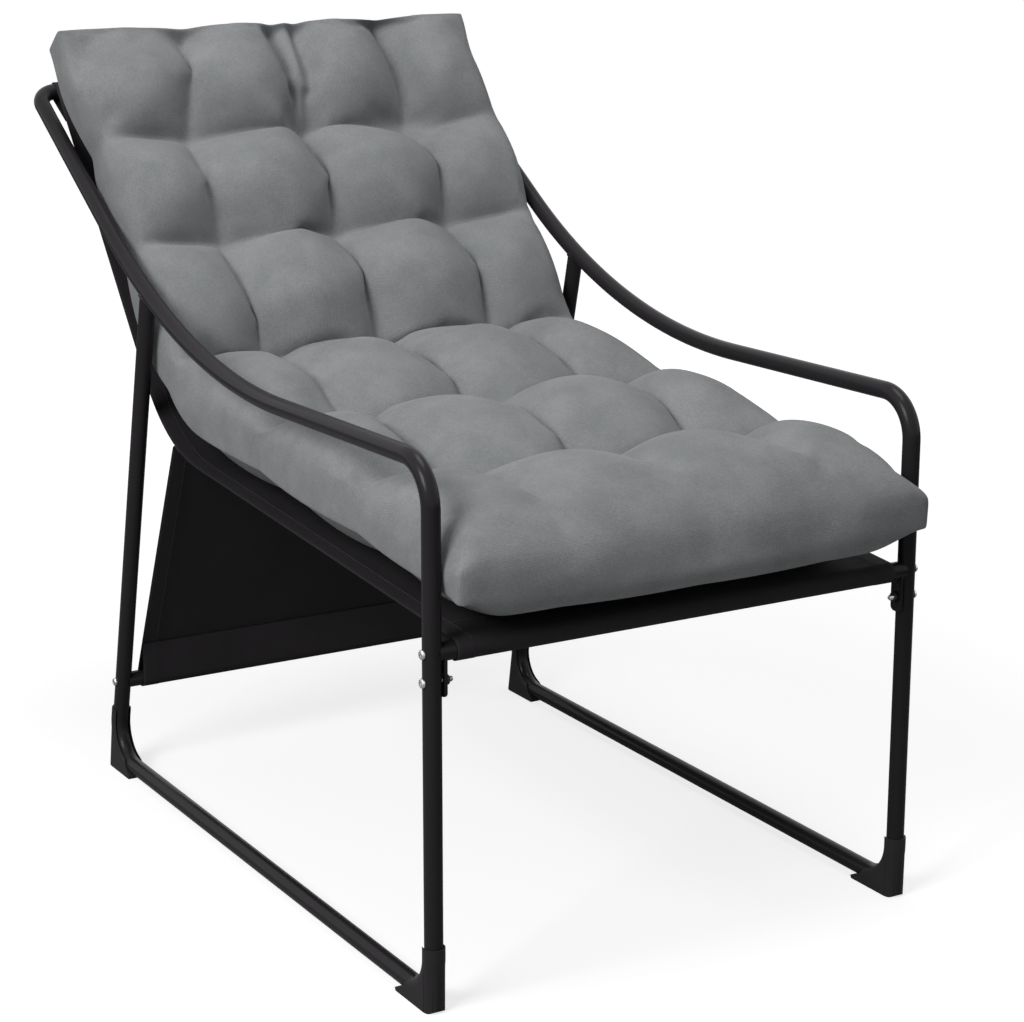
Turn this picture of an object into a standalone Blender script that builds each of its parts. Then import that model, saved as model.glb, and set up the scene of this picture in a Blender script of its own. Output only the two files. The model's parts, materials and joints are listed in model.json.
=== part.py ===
"""Garden lounge chair: bent steel tube frame, fabric sling and a loose tufted pad.

Metres, +Z up, floor at Z = 0, the chair faces -Y. Left is -X, as seen from the front.
Lengths named below run back from the front legs' axis, and heights up from the floor.
"""

import math

import bmesh
import bpy
from mathutils import Matrix, Vector

# Clearances
FIT_GAP = 0.0003          # between pieces that touch
BOLT_GAP = 0.0003         # round a bolt's shank
CLOTH_GAP = 0.0004        # between layers of cloth

# Tube
TUBE_DIAMETER = 0.020
TUBE_WALL = 0.0012
TUBE_SIDES = 14
BEND_TOLERANCE = 0.0003    # how far a bend's straight steps stay from its arc
SMOOTH_ANGLE = 35

# Side frames
SEAT_WIDTH = 0.580        # clear between the side tubes
SOLE_THICKNESS = 0.004
BASE_LENGTH = 0.849       # to the corner under the rear leg
FOOT_BEND_RADIUS = 0.045
REAR_LEG_LEAN = math.radians(13.6)
ARM_HEIGHT = 0.583        # at the front leg's axis
ARM_FALL = math.radians(1.6)
ARM_FRONT_RADIUS = 0.048
ARM_SWEEP_DISTANCE = 0.591
ARM_SWEEP_RADIUS = 0.839
UPRIGHT_RISE = math.radians(31.9)
TOP_RAIL_DISTANCE = 1.045
TOP_CORNER_RADIUS = 0.028
TOP_CORNER_STUB = 0.040   # straight run past the inward bend
LEG_JOINT_RISE = 0.003    # the leg tube starts this far above the front foot's bend

# Cross rails
FRONT_RAIL_HEIGHT = 0.388
REAR_RAIL_HEIGHT = 0.121
NOTCH_TIP_SETBACK = 0.005    # from the leg's axis to the tips of a notched rail end
SWAGE_LENGTH = 0.035
SWAGE_TAPER = 0.003

# Tabs under the front rail
TAB_WIDTH = 0.018
TAB_THICKNESS = 0.003
TAB_BOLT_DROP = 0.030     # from the rail's axis to the lower bolt
TAB_END_MARGIN = 0.017    # from the lower bolt to the tab's end

# Fasteners
BOLT_DIAMETER = 0.006
BOLT_HEAD_DIAMETER = 0.0105
BOLT_HEAD_HEIGHT = 0.0032
BOLT_FACE_DIAMETER = 0.0055
BOLT_TIP_CHAMFER = 0.0008
SOCKET_ACROSS_FLATS = 0.004
SOCKET_DEPTH = 0.0018
RAIL_BOLT_LENGTH = 0.045
TAB_BOLT_LENGTH = 0.033
NUT_ACROSS_FLATS = 0.010
NUT_HEIGHT = 0.005
INSERT_LENGTH = 0.022
INSERT_SETBACK = 0.014    # from the leg's axis to the insert's outer face
ROUND_SIDES = 16
DOME_STEPS = 3

# Corner feet
FOOT_CHEEK = 0.0022
FOOT_COLLAR_RISE = 0.009     # past the tube's bend, up the leg
FOOT_COLLAR_BAND = 0.007
FOOT_CHEEK_RUN = 0.001       # past the tube's bend, along the base
FRONT_SOLE_LENGTH = 0.070    # from the leg's axis
REAR_SOLE_LENGTH = 0.066
FOOT_TOE_RADIUS = 0.008
FOOT_EDGE_ROUND = 0.0018
FOOT_SOLE_END = 0.0036       # height of the sole's end, under the base tube
FOOT_SOLE_BEVEL = 0.002
FOOT_CHEEK_TURN = 0.012      # height where the cheek's end turns in to the sole

# Sling
CLOTH_THICKNESS = 0.0012
SLING_SIDE_GAP = 0.014       # from the side tubes
SEAT_CORNER_DISTANCE = 0.714
SEAT_CORNER_HEIGHT = 0.447
SEAT_CORNER_RADIUS = 0.200
FRONT_POCKET = 0.050
TOP_POCKET = 0.050
REAR_POCKET = 0.048
TAIL_FOLD_SHARE = 0.41       # of the sling's bend, from the seat to where the tail folds down
TAIL_FLAP = 0.018            # sewn under the sling, in front of that fold
TAIL_FOLD_RADIUS = 0.005
POCKET_STEPS = 11

# Pad
PAD_SIDE_GAP = 0.003         # from the side tubes
PAD_THICKNESS = 0.126
PAD_OVERHANG = 0.042         # of the corners, in front of the front legs' axis
PAD_BOW = 0.016              # how far the front's middle stands before its corners
PAD_CORNER_RADIUS = 0.210
PAD_LOWER_ROWS = (0.242, 0.240, 0.255, 0.170, 0.170)    # front to top; the last runs on to the end
PAD_ABOVE_RAIL = 0.014       # from where the sling meets the top rail to the pad's end
PAD_TUFT_SPACING = 0.162
PAD_TUFTS_ACROSS = 3
PAD_TUFT_DEPTH = 0.042
PAD_CREASE = 0.6             # share of that depth that a crease keeps between two tufts
PAD_UNDER_DEPTH = 0.016      # of the stitches on the side that lies on the sling
PAD_FRONT_ROUND = 0.115      # run of the rounding from the seam to the full thickness
PAD_TOP_ROUND = 0.025
PAD_SIDE_ROUND = 0.050
PAD_UNDER_SIDE_ROUND = 0.065     # of the under side, which leaves the sling in a soft curve
PAD_BAND = 0.032             # height of the band between the upper and the under seam
PAD_TOP_SEAM = 0.045         # height of the upper seam at the pad's top end
PAD_TOP_SEAM_RUN = 0.070     # along the sides, over which the seams rise to that end
PAD_FRONT_VALLEY = 0.2       # share of the valleys' depth left at the front seam
PAD_SIDE_DRAW = 0.008        # how far the seam is drawn in beside a row of tufts
PAD_EAR = 0.013              # how far the corners stand out
PAD_EAR_RUN = 0.030          # at the front; at the top the ears widen along the whole row
PAD_REST = 0.0006            # between the pad and the sling
PAD_CELL_STEPS = 4
PAD_END_MARKS = (0.05, 0.16)     # shares of an end row that round its edge
PAD_SIDE_MARKS = (0.10, 0.30)
PAD_SWELL_POWER = 0.55           # under 1 makes the filling steep beside a stitch

TUBE_RADIUS = TUBE_DIAMETER / 2
TUBE_BORE = TUBE_RADIUS - TUBE_WALL
BOLT_RADIUS = BOLT_DIAMETER / 2
BASE_HEIGHT = SOLE_THICKNESS + TUBE_RADIUS
SIDE_X = SEAT_WIDTH / 2 + TUBE_RADIUS
SLING_WIDTH = SEAT_WIDTH - 2 * SLING_SIDE_GAP
PAD_WIDTH = SEAT_WIDTH - 2 * PAD_SIDE_GAP
SLEEVE_RADIUS = TUBE_RADIUS + FIT_GAP + CLOTH_THICKNESS / 2
ARM_SWEEP_HEIGHT = ARM_HEIGHT - math.tan(ARM_FALL) * ARM_SWEEP_DISTANCE
TOP_RAIL_HEIGHT = ARM_SWEEP_HEIGHT + math.tan(UPRIGHT_RISE) * (TOP_RAIL_DISTANCE - ARM_SWEEP_DISTANCE)
TAB_BOLT_HEIGHT = FRONT_RAIL_HEIGHT - TAB_BOLT_DROP
SIDES = (("left", -1), ("right", 1))

X_AXIS = Vector((1, 0, 0))


def material(name, colour, roughness, metallic=0.0):
    mat = bpy.data.materials.new(name)
    mat.use_nodes = True
    shader = mat.node_tree.nodes["Principled BSDF"]
    shader.inputs["Base Color"].default_value = (*colour, 1.0)
    shader.inputs["Roughness"].default_value = roughness
    shader.inputs["Metallic"].default_value = metallic
    return mat


def add_object(name, mesh, mat=None, smooth_angle=SMOOTH_ANGLE):
    """Link a mesh as one named piece of the chair, hung on the chair's own empty."""
    obj = bpy.data.objects.new(name, mesh)
    bpy.context.scene.collection.objects.link(obj)
    obj.parent = chair
    if mat:
        mesh.materials.append(mat)
    mesh.shade_smooth()
    mesh.set_sharp_from_angle(angle=math.radians(smooth_angle))
    return obj


def mesh_from(name, build):
    """Make a mesh by a function that fills a bmesh, with its faces turned outwards."""
    mesh = bpy.data.meshes.new(name)
    bm = bmesh.new()
    build(bm)
    bmesh.ops.recalc_face_normals(bm, faces=bm.faces)
    bm.to_mesh(mesh)
    bm.free()
    return mesh


def cutter(name, mesh):
    obj = add_object(name, mesh)
    obj.hide_render = True
    obj.display_type = "WIRE"
    return obj


def cut(obj, tool):
    modifier = obj.modifiers.new(f"cut by {tool.name}", "BOOLEAN")
    modifier.operation = "DIFFERENCE"
    modifier.solver = "EXACT"
    modifier.object = tool


# Paths

def rounded_path(corners, radii):
    """A polyline through the corners, each inner corner turned on an arc of its radius."""
    points = [corners[0]]
    for before, corner, after, radius in zip(corners, corners[1:], corners[2:], radii):
        arriving = (corner - before).normalized()
        leaving = (after - corner).normalized()
        turn = arriving.angle(leaving)
        reach = radius * math.tan(turn / 2)
        axis = arriving.cross(leaving).normalized()
        start = corner - arriving * reach
        centre = start + axis.cross(arriving) * radius
        steps = max(2, math.ceil(turn / (2 * math.acos(1 - BEND_TOLERANCE / radius))))
        for i in range(steps + 1):
            points.append(centre + Matrix.Rotation(turn * i / steps, 3, axis) @ (start - centre))
    points.append(corners[-1])
    return points


def ring_frames(path):
    """At each point the two directions across the path, carried along without twist."""
    runs = [(b - a).normalized() for a, b in zip(path, path[1:])]
    tangents = [runs[0]] + [(a + b).normalized() for a, b in zip(runs, runs[1:])] + [runs[-1]]
    across = tangents[0].orthogonal().normalized()
    frames = []
    previous = tangents[0]
    for tangent in tangents:
        across = previous.rotation_difference(tangent) @ across
        across = (across - tangent * across.dot(tangent)).normalized()
        frames.append((across, tangent.cross(across)))
        previous = tangent
    return frames


def sweep_rings(bm, path, radius, sides):
    rings = []
    for point, (across, up) in zip(path, ring_frames(path)):
        ring = []
        for i in range(sides):
            angle = 2 * math.pi * (i + 0.5) / sides
            ring.append(bm.verts.new(point + radius * (math.cos(angle) * across + math.sin(angle) * up)))
        rings.append(ring)
    for near, far in zip(rings, rings[1:]):
        for i in range(sides):
            j = (i + 1) % sides
            bm.faces.new((near[i], near[j], far[j], far[i]))
    return rings


def rod_mesh(name, path, radius, sides=TUBE_SIDES):
    def build(bm):
        rings = sweep_rings(bm, path, radius, sides)
        bm.faces.new(rings[0])
        bm.faces.new(rings[-1])
    return mesh_from(name, build)


def tube_mesh(name, path, radius=TUBE_RADIUS, bore=TUBE_BORE, sides=TUBE_SIDES):
    """A pipe with open ends along the path."""
    def build(bm):
        outer = sweep_rings(bm, path, radius, sides)
        inner = sweep_rings(bm, path, bore, sides)
        for out_ring, in_ring in ((outer[0], inner[0]), (outer[-1], inner[-1])):
            for i in range(sides):
                j = (i + 1) % sides
                bm.faces.new((out_ring[i], out_ring[j], in_ring[j], in_ring[i]))
    return mesh_from(name, build)


def turned_mesh(name, profile, axis_points, sides=ROUND_SIDES):
    """Turn (distance along, radius) pairs about a line; a closed profile leaves a bore."""
    start, along = axis_points[0], (axis_points[1] - axis_points[0]).normalized()
    across = along.orthogonal().normalized()
    up = along.cross(across)
    bored = profile[0] == profile[-1]

    def build(bm):
        rings = []
        for distance, radius in profile[:-1] if bored else profile:
            centre = start + along * distance
            if radius == 0:
                rings.append([bm.verts.new(centre)])
                continue
            rings.append([])
            for i in range(sides):
                angle = 2 * math.pi * i / sides
                spoke = math.cos(angle) * across + math.sin(angle) * up
                rings[-1].append(bm.verts.new(centre + radius * spoke))
        pairs = list(zip(rings, rings[1:]))
        if bored:
            pairs.append((rings[-1], rings[0]))
        for near, far in pairs:
            for i in range(sides):
                j = (i + 1) % sides
                corners = [near[i % len(near)], near[j % len(near)], far[j % len(far)], far[i % len(far)]]
                bm.faces.new(list(dict.fromkeys(corners)))
    return mesh_from(name, build)


def prism_mesh(name, outline, x_from, x_to):
    """Extrude a closed outline of (distance, height) points across the chair."""
    def build(bm):
        face = bm.faces.new([bm.verts.new(place(x_from, y, z)) for y, z in outline])
        pushed = bmesh.ops.extrude_face_region(bm, geom=[face])["geom"]
        verts = [item for item in pushed if isinstance(item, bmesh.types.BMVert)]
        bmesh.ops.translate(bm, verts=verts, vec=X_AXIS * (x_to - x_from))
    return mesh_from(name, build)


def place(x, distance, height):
    return Vector((x, distance, height))


# Lines of the sling and the pad, as (distance, height) pairs

def flat(y, z):
    return Vector((y, z))


def left_normal(direction):
    return Vector((-direction.y, direction.x))


def tangent_point(point, centre, radius, side):
    """Where a line from the point touches a circle; side 1 keeps the centre on its left."""
    toward = centre - point
    swing = side * math.asin(radius / toward.length)
    direction = Matrix.Rotation(-swing, 2) @ toward.normalized()
    return point + direction * math.sqrt(toward.length ** 2 - radius ** 2), direction


FRONT_RAIL = flat(0, FRONT_RAIL_HEIGHT)
TOP_RAIL = flat(TOP_RAIL_DISTANCE, TOP_RAIL_HEIGHT)
SEAT_CORNER = flat(SEAT_CORNER_DISTANCE, SEAT_CORNER_HEIGHT)
REAR_LEG_RUN = flat(-math.sin(REAR_LEG_LEAN), math.cos(REAR_LEG_LEAN))
REAR_CORNER = flat(BASE_LENGTH, BASE_HEIGHT)


def rear_leg_at(height):
    """Point on the rear leg's axis at a height."""
    return REAR_CORNER + REAR_LEG_RUN * (height - BASE_HEIGHT) / REAR_LEG_RUN.y


REAR_RAIL = rear_leg_at(REAR_RAIL_HEIGHT)
FRONT_TOUCH, SEAT_TO_FRONT = tangent_point(SEAT_CORNER, FRONT_RAIL, SLEEVE_RADIUS, 1)
TOP_TOUCH, BACK_RUN = tangent_point(SEAT_CORNER, TOP_RAIL, SLEEVE_RADIUS, -1)
SEAT_RUN = -SEAT_TO_FRONT


def bent_line(start, corner, end, radius, steps):
    """The straight run, arc and straight run from start to end round a corner."""
    arriving = (corner - start).normalized()
    leaving = (end - corner).normalized()
    turn = arriving.angle_signed(leaving)
    reach = radius * math.tan(abs(turn) / 2)
    first = corner - arriving * reach
    centre = first + left_normal(arriving) * radius * (1 if turn < 0 else -1)
    points = [start]
    for i in range(steps + 1):
        points.append(centre + Matrix.Rotation(-turn * i / steps, 2) @ (first - centre))
    points.append(end)
    return points


def wrap(centre, radius, start, sweep, steps):
    """Points on a circle from the start point round by the sweep, positive turning left."""
    arm = (start - centre).normalized() * radius
    return [centre + Matrix.Rotation(sweep * i / steps, 2) @ arm for i in range(steps + 1)]


def pocket(centre, touch, run, side, depth):
    """Cloth that leaves the panel at touch, goes round a rail and comes back under the panel.

    run points from the rail along the panel, and side is 1 where the panel lies left of it.
    """
    sheet_side = left_normal(run) * side
    layer = CLOTH_THICKNESS + CLOTH_GAP
    seam = centre + run * depth + sheet_side * (SLEEVE_RADIUS - layer)
    back_touch, _ = tangent_point(seam, centre, SLEEVE_RADIUS, -side)
    start_angle = math.atan2((touch - centre).y, (touch - centre).x)
    end_angle = math.atan2((back_touch - centre).y, (back_touch - centre).x)
    sweep = (end_angle - start_angle) * side % (2 * math.pi) * side
    return wrap(centre, SLEEVE_RADIUS, touch, sweep, POCKET_STEPS)[1:] + [seam]


def offset_line(points, distance):
    """The line moved sideways, to its left for a positive distance."""
    runs = [(b - a).normalized() for a, b in zip(points, points[1:])]
    moved = []
    for i, point in enumerate(points):
        before = left_normal(runs[max(i - 1, 0)])
        after = left_normal(runs[min(i, len(runs) - 1)])
        middle = (before + after).normalized()
        moved.append(point + middle * distance / middle.dot(before))
    return moved


def cloth_mesh(name, line, width, thickness=CLOTH_THICKNESS):
    """A sheet whose section is the line, thickened to both sides."""
    left = offset_line(line, thickness / 2)
    right = offset_line(line, -thickness / 2)

    def build(bm):
        rows = []
        for a, b in zip(left, right):
            corners = ((-width / 2, a), (width / 2, a), (width / 2, b), (-width / 2, b))
            rows.append([bm.verts.new(place(x, p.x, p.y)) for x, p in corners])
        bm.faces.new(rows[0])
        bm.faces.new(rows[-1])
        for near, far in zip(rows, rows[1:]):
            for i in range(4):
                j = (i + 1) % 4
                bm.faces.new((near[i], near[j], far[j], far[i]))
    return mesh_from(name, build)


# Frame

def arm_path(side):
    x = side * SIDE_X
    leg_start = BASE_HEIGHT + FOOT_BEND_RADIUS + LEG_JOINT_RISE
    stub_x = side * (SIDE_X - TOP_CORNER_RADIUS - TOP_CORNER_STUB)
    corners = [
        place(x, 0, leg_start),
        place(x, 0, ARM_HEIGHT),
        place(x, ARM_SWEEP_DISTANCE, ARM_SWEEP_HEIGHT),
        place(x, TOP_RAIL_DISTANCE, TOP_RAIL_HEIGHT),
        place(stub_x, TOP_RAIL_DISTANCE, TOP_RAIL_HEIGHT),
    ]
    radii = (ARM_FRONT_RADIUS, ARM_SWEEP_RADIUS, TOP_CORNER_RADIUS)
    return rounded_path(corners, radii)


def arm_axis_height(distance):
    """Height of the arm's axis above the floor, on the straight and swept runs."""
    path = arm_path(1)
    for a, b in zip(path, path[1:]):
        if a.y <= distance <= b.y and b.y > a.y:
            return a.z + (b.z - a.z) * (distance - a.y) / (b.y - a.y)
    raise ValueError("no arm at this distance")


def rear_leg_top():
    """Where the rear leg's axis meets the arm's axis."""
    low, high = BASE_HEIGHT, TOP_RAIL_HEIGHT
    for _ in range(40):
        middle = (low + high) / 2
        point = rear_leg_at(middle)
        if arm_axis_height(point.x) > middle:
            low = middle
        else:
            high = middle
    return rear_leg_at(low)


def base_path(side, leg_start):
    x = side * SIDE_X
    top = rear_leg_top()
    corners = [
        place(x, 0, leg_start),
        place(x, 0, BASE_HEIGHT),
        place(x, REAR_CORNER.x, REAR_CORNER.y),
        place(x, top.x, top.y),
    ]
    return rounded_path(corners, (FOOT_BEND_RADIUS, FOOT_BEND_RADIUS))


def cross_hole(name, side, distance, height):
    """Cutter for a bolt hole through a leg, from outside to inside."""
    reach = SIDE_X + 2 * TUBE_RADIUS
    inner = SIDE_X - 2 * TUBE_RADIUS
    path = [place(side * reach, distance, height), place(side * inner, distance, height)]
    return cutter(name, rod_mesh(name, path, BOLT_RADIUS + BOLT_GAP, ROUND_SIDES))


def side_frame(label, side):
    arm_start = BASE_HEIGHT + FOOT_BEND_RADIUS + LEG_JOINT_RISE
    arm = add_object(f"{label}_arm_tube", tube_mesh(f"{label}_arm_tube", arm_path(side)), frame_paint)
    base = base_path(side, arm_start - FIT_GAP)
    lower = add_object(f"{label}_base_tube", tube_mesh(f"{label}_base_tube", base), frame_paint)
    arm_tool = cutter(
        f"{label} arm clearance",
        rod_mesh("arm clearance", arm_path(side), TUBE_RADIUS + FIT_GAP, TUBE_SIDES),
    )
    cut(lower, arm_tool)
    cut(arm, cross_hole(f"{label} front rail hole", side, 0, FRONT_RAIL_HEIGHT))
    cut(arm, cross_hole(f"{label} tab hole", side, 0, TAB_BOLT_HEIGHT))
    cut(lower, cross_hole(f"{label} rear rail hole", side, REAR_RAIL.x, REAR_RAIL.y))


def cross_rail(name, centre, legs):
    """A rail between two legs, its ends notched round them."""
    tip = SIDE_X - NOTCH_TIP_SETBACK
    path = [place(-tip, centre.x, centre.y), place(tip, centre.x, centre.y)]
    rail = add_object(name, tube_mesh(name, path), frame_paint)
    for tool in legs:
        cut(rail, tool)
    return rail


def leg_clearances(name, bottom, top):
    """Cutters for what lies against a pair of legs, one for each side."""
    tools = []
    for label, side in SIDES:
        path = [place(side * SIDE_X, p.x, p.y) for p in (bottom, top)]
        mesh = rod_mesh(f"{label} {name}", path, TUBE_RADIUS + FIT_GAP, TUBE_SIDES)
        tools.append(cutter(f"{label} {name}", mesh))
    return tools


def top_rail():
    """The rail across the back, with swaged ends that slide into the side tubes."""
    body = SIDE_X - TOP_CORNER_RADIUS - TOP_CORNER_STUB - FIT_GAP
    thin = TUBE_BORE - FIT_GAP
    tip = body + SWAGE_LENGTH
    shoulder = body - SWAGE_TAPER
    outer = [(-tip, thin), (-body, thin), (-shoulder, TUBE_RADIUS)]
    outer += [(-x, r) for x, r in reversed(outer)]
    inner = [(x, r - TUBE_WALL) for x, r in reversed(outer)]
    profile = outer + inner
    profile.append(profile[0])
    middle = place(0, TOP_RAIL_DISTANCE, TOP_RAIL_HEIGHT)
    mesh = turned_mesh("top_rail", profile, (middle, middle + X_AXIS), TUBE_SIDES)
    return add_object("top_rail", mesh, frame_paint)


def rail_tabs(rail_tool):
    """The plates under the front rail's ends that the lower bolts pull against the legs."""
    bottom = TAB_BOLT_HEIGHT - TAB_END_MARGIN
    outer_face = SIDE_X - TUBE_RADIUS - FIT_GAP
    corner = TAB_WIDTH / 3
    outline = [
        (-TAB_WIDTH / 2, FRONT_RAIL_HEIGHT),
        (-TAB_WIDTH / 2, bottom + corner),
        (-TAB_WIDTH / 2 + corner, bottom),
        (TAB_WIDTH / 2 - corner, bottom),
        (TAB_WIDTH / 2, bottom + corner),
        (TAB_WIDTH / 2, FRONT_RAIL_HEIGHT),
    ]
    for label, side in SIDES:
        faces = sorted((side * outer_face, side * (outer_face - TAB_THICKNESS)))
        tab = add_object(f"{label}_rail_tab", prism_mesh(f"{label}_rail_tab", outline, *faces), frame_paint)
        cut(tab, rail_tool)
        cut(tab, bpy.data.objects[f"{label} tab hole"])


# Fasteners

def bolt(name, side, distance, height, length):
    """A socket button-head bolt put in from outside the leg."""
    seat = SIDE_X + TUBE_RADIUS + FIT_GAP
    face = BOLT_FACE_DIAMETER / 2
    crown = BOLT_HEAD_DIAMETER / 2 - face
    end = BOLT_HEAD_HEIGHT + length
    start = place(side * (seat + BOLT_HEAD_HEIGHT), distance, height)
    profile = [(0, 0)]
    for i in range(DOME_STEPS + 1):
        angle = math.pi / 2 * i / DOME_STEPS
        profile.append((BOLT_HEAD_HEIGHT * (1 - math.cos(angle)), face + crown * math.sin(angle)))
    profile += [
        (BOLT_HEAD_HEIGHT, BOLT_RADIUS),
        (end - BOLT_TIP_CHAMFER, BOLT_RADIUS),
        (end, BOLT_RADIUS - BOLT_TIP_CHAMFER),
        (end, 0),
    ]
    obj = add_object(name, turned_mesh(name, profile, (start, start - X_AXIS * side)), zinc)
    socket_end = start - X_AXIS * side * SOCKET_DEPTH
    socket_radius = SOCKET_ACROSS_FLATS / math.sqrt(3)
    path = [start + X_AXIS * side * SOCKET_DEPTH, socket_end]
    cut(obj, cutter(f"{name} socket", rod_mesh(f"{name} socket", path, socket_radius, 6)))


def threaded_insert(name, side, distance, height):
    """The plug pressed into a rail's end that takes the bolt."""
    start = place(side * (SIDE_X - INSERT_SETBACK), distance, height)
    outer, inner = TUBE_BORE - FIT_GAP, BOLT_RADIUS + BOLT_GAP
    profile = [(0, inner), (0, outer), (INSERT_LENGTH, outer), (INSERT_LENGTH, inner), (0, inner)]
    add_object(name, turned_mesh(name, profile, (start, start - X_AXIS * side)), zinc)


def tab_nut(name, side):
    face = SIDE_X - TUBE_RADIUS - 2 * FIT_GAP - TAB_THICKNESS
    start = place(side * face, 0, TAB_BOLT_HEIGHT)
    path = [start, start - X_AXIS * side * NUT_HEIGHT]
    nut = add_object(name, rod_mesh(name, path, NUT_ACROSS_FLATS / math.sqrt(3), 6), black_oxide)
    cut(nut, bpy.data.objects[("left" if side < 0 else "right") + " tab hole"])


def fasteners():
    for label, side in SIDES:
        bolt(f"{label}_front_rail_bolt", side, 0, FRONT_RAIL_HEIGHT, RAIL_BOLT_LENGTH)
        bolt(f"{label}_tab_bolt", side, 0, TAB_BOLT_HEIGHT, TAB_BOLT_LENGTH)
        bolt(f"{label}_rear_rail_bolt", side, REAR_RAIL.x, REAR_RAIL.y, RAIL_BOLT_LENGTH)
        threaded_insert(f"{label}_front_rail_insert", side, 0, FRONT_RAIL_HEIGHT)
        threaded_insert(f"{label}_rear_rail_insert", side, REAR_RAIL.x, REAR_RAIL.y)
        tab_nut(f"{label}_tab_nut", side)


# Corner feet

def crossing(point_a, run_a, point_b, run_b):
    """Where two lines meet."""
    gap = point_b - point_a
    turn = run_a.x * run_b.y - run_a.y * run_b.x
    return point_a + run_a * (gap.x * run_b.y - gap.y * run_b.x) / turn


def bend_reach(leg_run, inward):
    """From the corner of the leg's and base's axes to where the bend begins."""
    return FOOT_BEND_RADIUS * math.tan(flat(inward, 0).angle(-leg_run) / 2)


def foot_outline(corner, leg_run, inward, sole_length):
    """Side view of a corner foot: sole, toe, collar and the hollow that follows the bend."""
    half = TUBE_RADIUS + FOOT_CHEEK
    base_run = flat(inward, 0)
    outside = left_normal(leg_run) * inward
    reach = bend_reach(leg_run, inward)
    leg_outer = corner + outside * half
    floor_point = flat(corner.x, 0)
    toe = crossing(leg_outer, leg_run, floor_point, base_run)
    collar_outer = leg_outer + leg_run * (reach + FOOT_COLLAR_RISE)
    collar_inner = collar_outer - outside * 2 * half
    cheek_length = reach + FOOT_CHEEK_RUN
    sole_end = floor_point + base_run * sole_length
    sole_lip = sole_end + flat(inward * FOOT_SOLE_BEVEL, FOOT_SOLE_END)
    cheek_low = flat(corner.x + inward * (cheek_length + sole_length) / 2, FOOT_CHEEK_TURN)
    cheek_top = flat(corner.x + inward * cheek_length, BASE_HEIGHT + half)
    toe_arc = bent_line(collar_outer, toe, sole_end, FOOT_TOE_RADIUS, 3)
    inner_corner = crossing(collar_inner, leg_run, cheek_top, base_run)
    hollow = bent_line(cheek_top, inner_corner, collar_inner, FOOT_BEND_RADIUS - half, 6)
    return toe_arc + [sole_lip, cheek_low] + hollow


def foot_channel(corner, leg_run, inward, sole_length):
    """Side view of the space the foot leaves open on the inner side of the bend."""
    base_run = flat(inward, 0)
    inside = -left_normal(leg_run) * inward
    leg_top = corner + leg_run * (bend_reach(leg_run, inward) + FOOT_COLLAR_RISE - FOOT_COLLAR_BAND)
    base_end = corner + base_run * (sole_length + TUBE_DIAMETER)
    axis = bent_line(leg_top, corner, base_end, FOOT_BEND_RADIUS, 6)
    return axis + [base_end + flat(0, 2 * TUBE_DIAMETER), leg_top + inside * sole_length]


def corner_foot(name, side, corner, leg_run, inward, sole_length, tube_tool):
    half = TUBE_RADIUS + FOOT_CHEEK
    x = side * SIDE_X
    outline = foot_outline(corner, leg_run, inward, sole_length)
    foot = add_object(name, prism_mesh(name, outline, x - half, x + half), foot_plastic)
    rounding = foot.modifiers.new("rounded edges", "BEVEL")
    rounding.width = FOOT_EDGE_ROUND
    rounding.segments = 2
    rounding.limit_method = "ANGLE"
    rounding.angle_limit = math.radians(60)
    cut(foot, tube_tool)
    channel = foot_channel(corner, leg_run, inward, sole_length)
    tool_name = f"{name} channel"
    mesh = prism_mesh(tool_name, channel, x - TUBE_RADIUS, x + TUBE_RADIUS)
    cut(foot, cutter(tool_name, mesh))


def corner_feet():
    upright = flat(0, 1)
    front_corner = flat(0, BASE_HEIGHT)
    reach = BASE_HEIGHT + FOOT_BEND_RADIUS + FOOT_COLLAR_RISE + TUBE_DIAMETER
    for label, side in SIDES:
        path = base_path(side, reach)
        mesh = rod_mesh("base clearance", path, TUBE_RADIUS + FIT_GAP, TUBE_SIDES)
        tool = cutter(f"{label} base clearance", mesh)
        corner_foot(f"front_{label}_foot", side, front_corner, upright, 1, FRONT_SOLE_LENGTH, tool)
        corner_foot(f"rear_{label}_foot", side, REAR_CORNER, REAR_LEG_RUN, -1, REAR_SOLE_LENGTH, tool)


# Sling

def sling_line():
    """Section of the seat and back panel, from the front pocket's seam to the top pocket's."""
    front = pocket(FRONT_RAIL, FRONT_TOUCH, SEAT_RUN, 1, FRONT_POCKET)
    top = pocket(TOP_RAIL, TOP_TOUCH, -BACK_RUN, -1, TOP_POCKET)
    panel = bent_line(FRONT_TOUCH, SEAT_CORNER, TOP_TOUCH, SEAT_CORNER_RADIUS, 7)
    return list(reversed(front)) + panel + top


def tail_line():
    """Section of the tail, from its flap under the sling's bend down and round the rear rail."""
    turn = SEAT_RUN.angle(BACK_RUN)
    bend_start = SEAT_CORNER - SEAT_RUN * SEAT_CORNER_RADIUS * math.tan(turn / 2)
    centre = bend_start + left_normal(SEAT_RUN) * SEAT_CORNER_RADIUS
    radius = SEAT_CORNER_RADIUS + CLOTH_THICKNESS + CLOTH_GAP
    sweep = TAIL_FLAP / radius
    seam = centre + Matrix.Rotation(turn * TAIL_FOLD_SHARE - sweep, 2) @ (bend_start - centre)
    start, before_fold, fold = wrap(centre, radius, seam, sweep, 2)
    touch, run = tangent_point(fold, REAR_RAIL, SLEEVE_RADIUS, -1)
    wrapped = pocket(REAR_RAIL, touch, -run, -1, REAR_POCKET)
    return [start] + bent_line(before_fold, fold, touch, TAIL_FOLD_RADIUS, 3) + wrapped


# Pad

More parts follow.
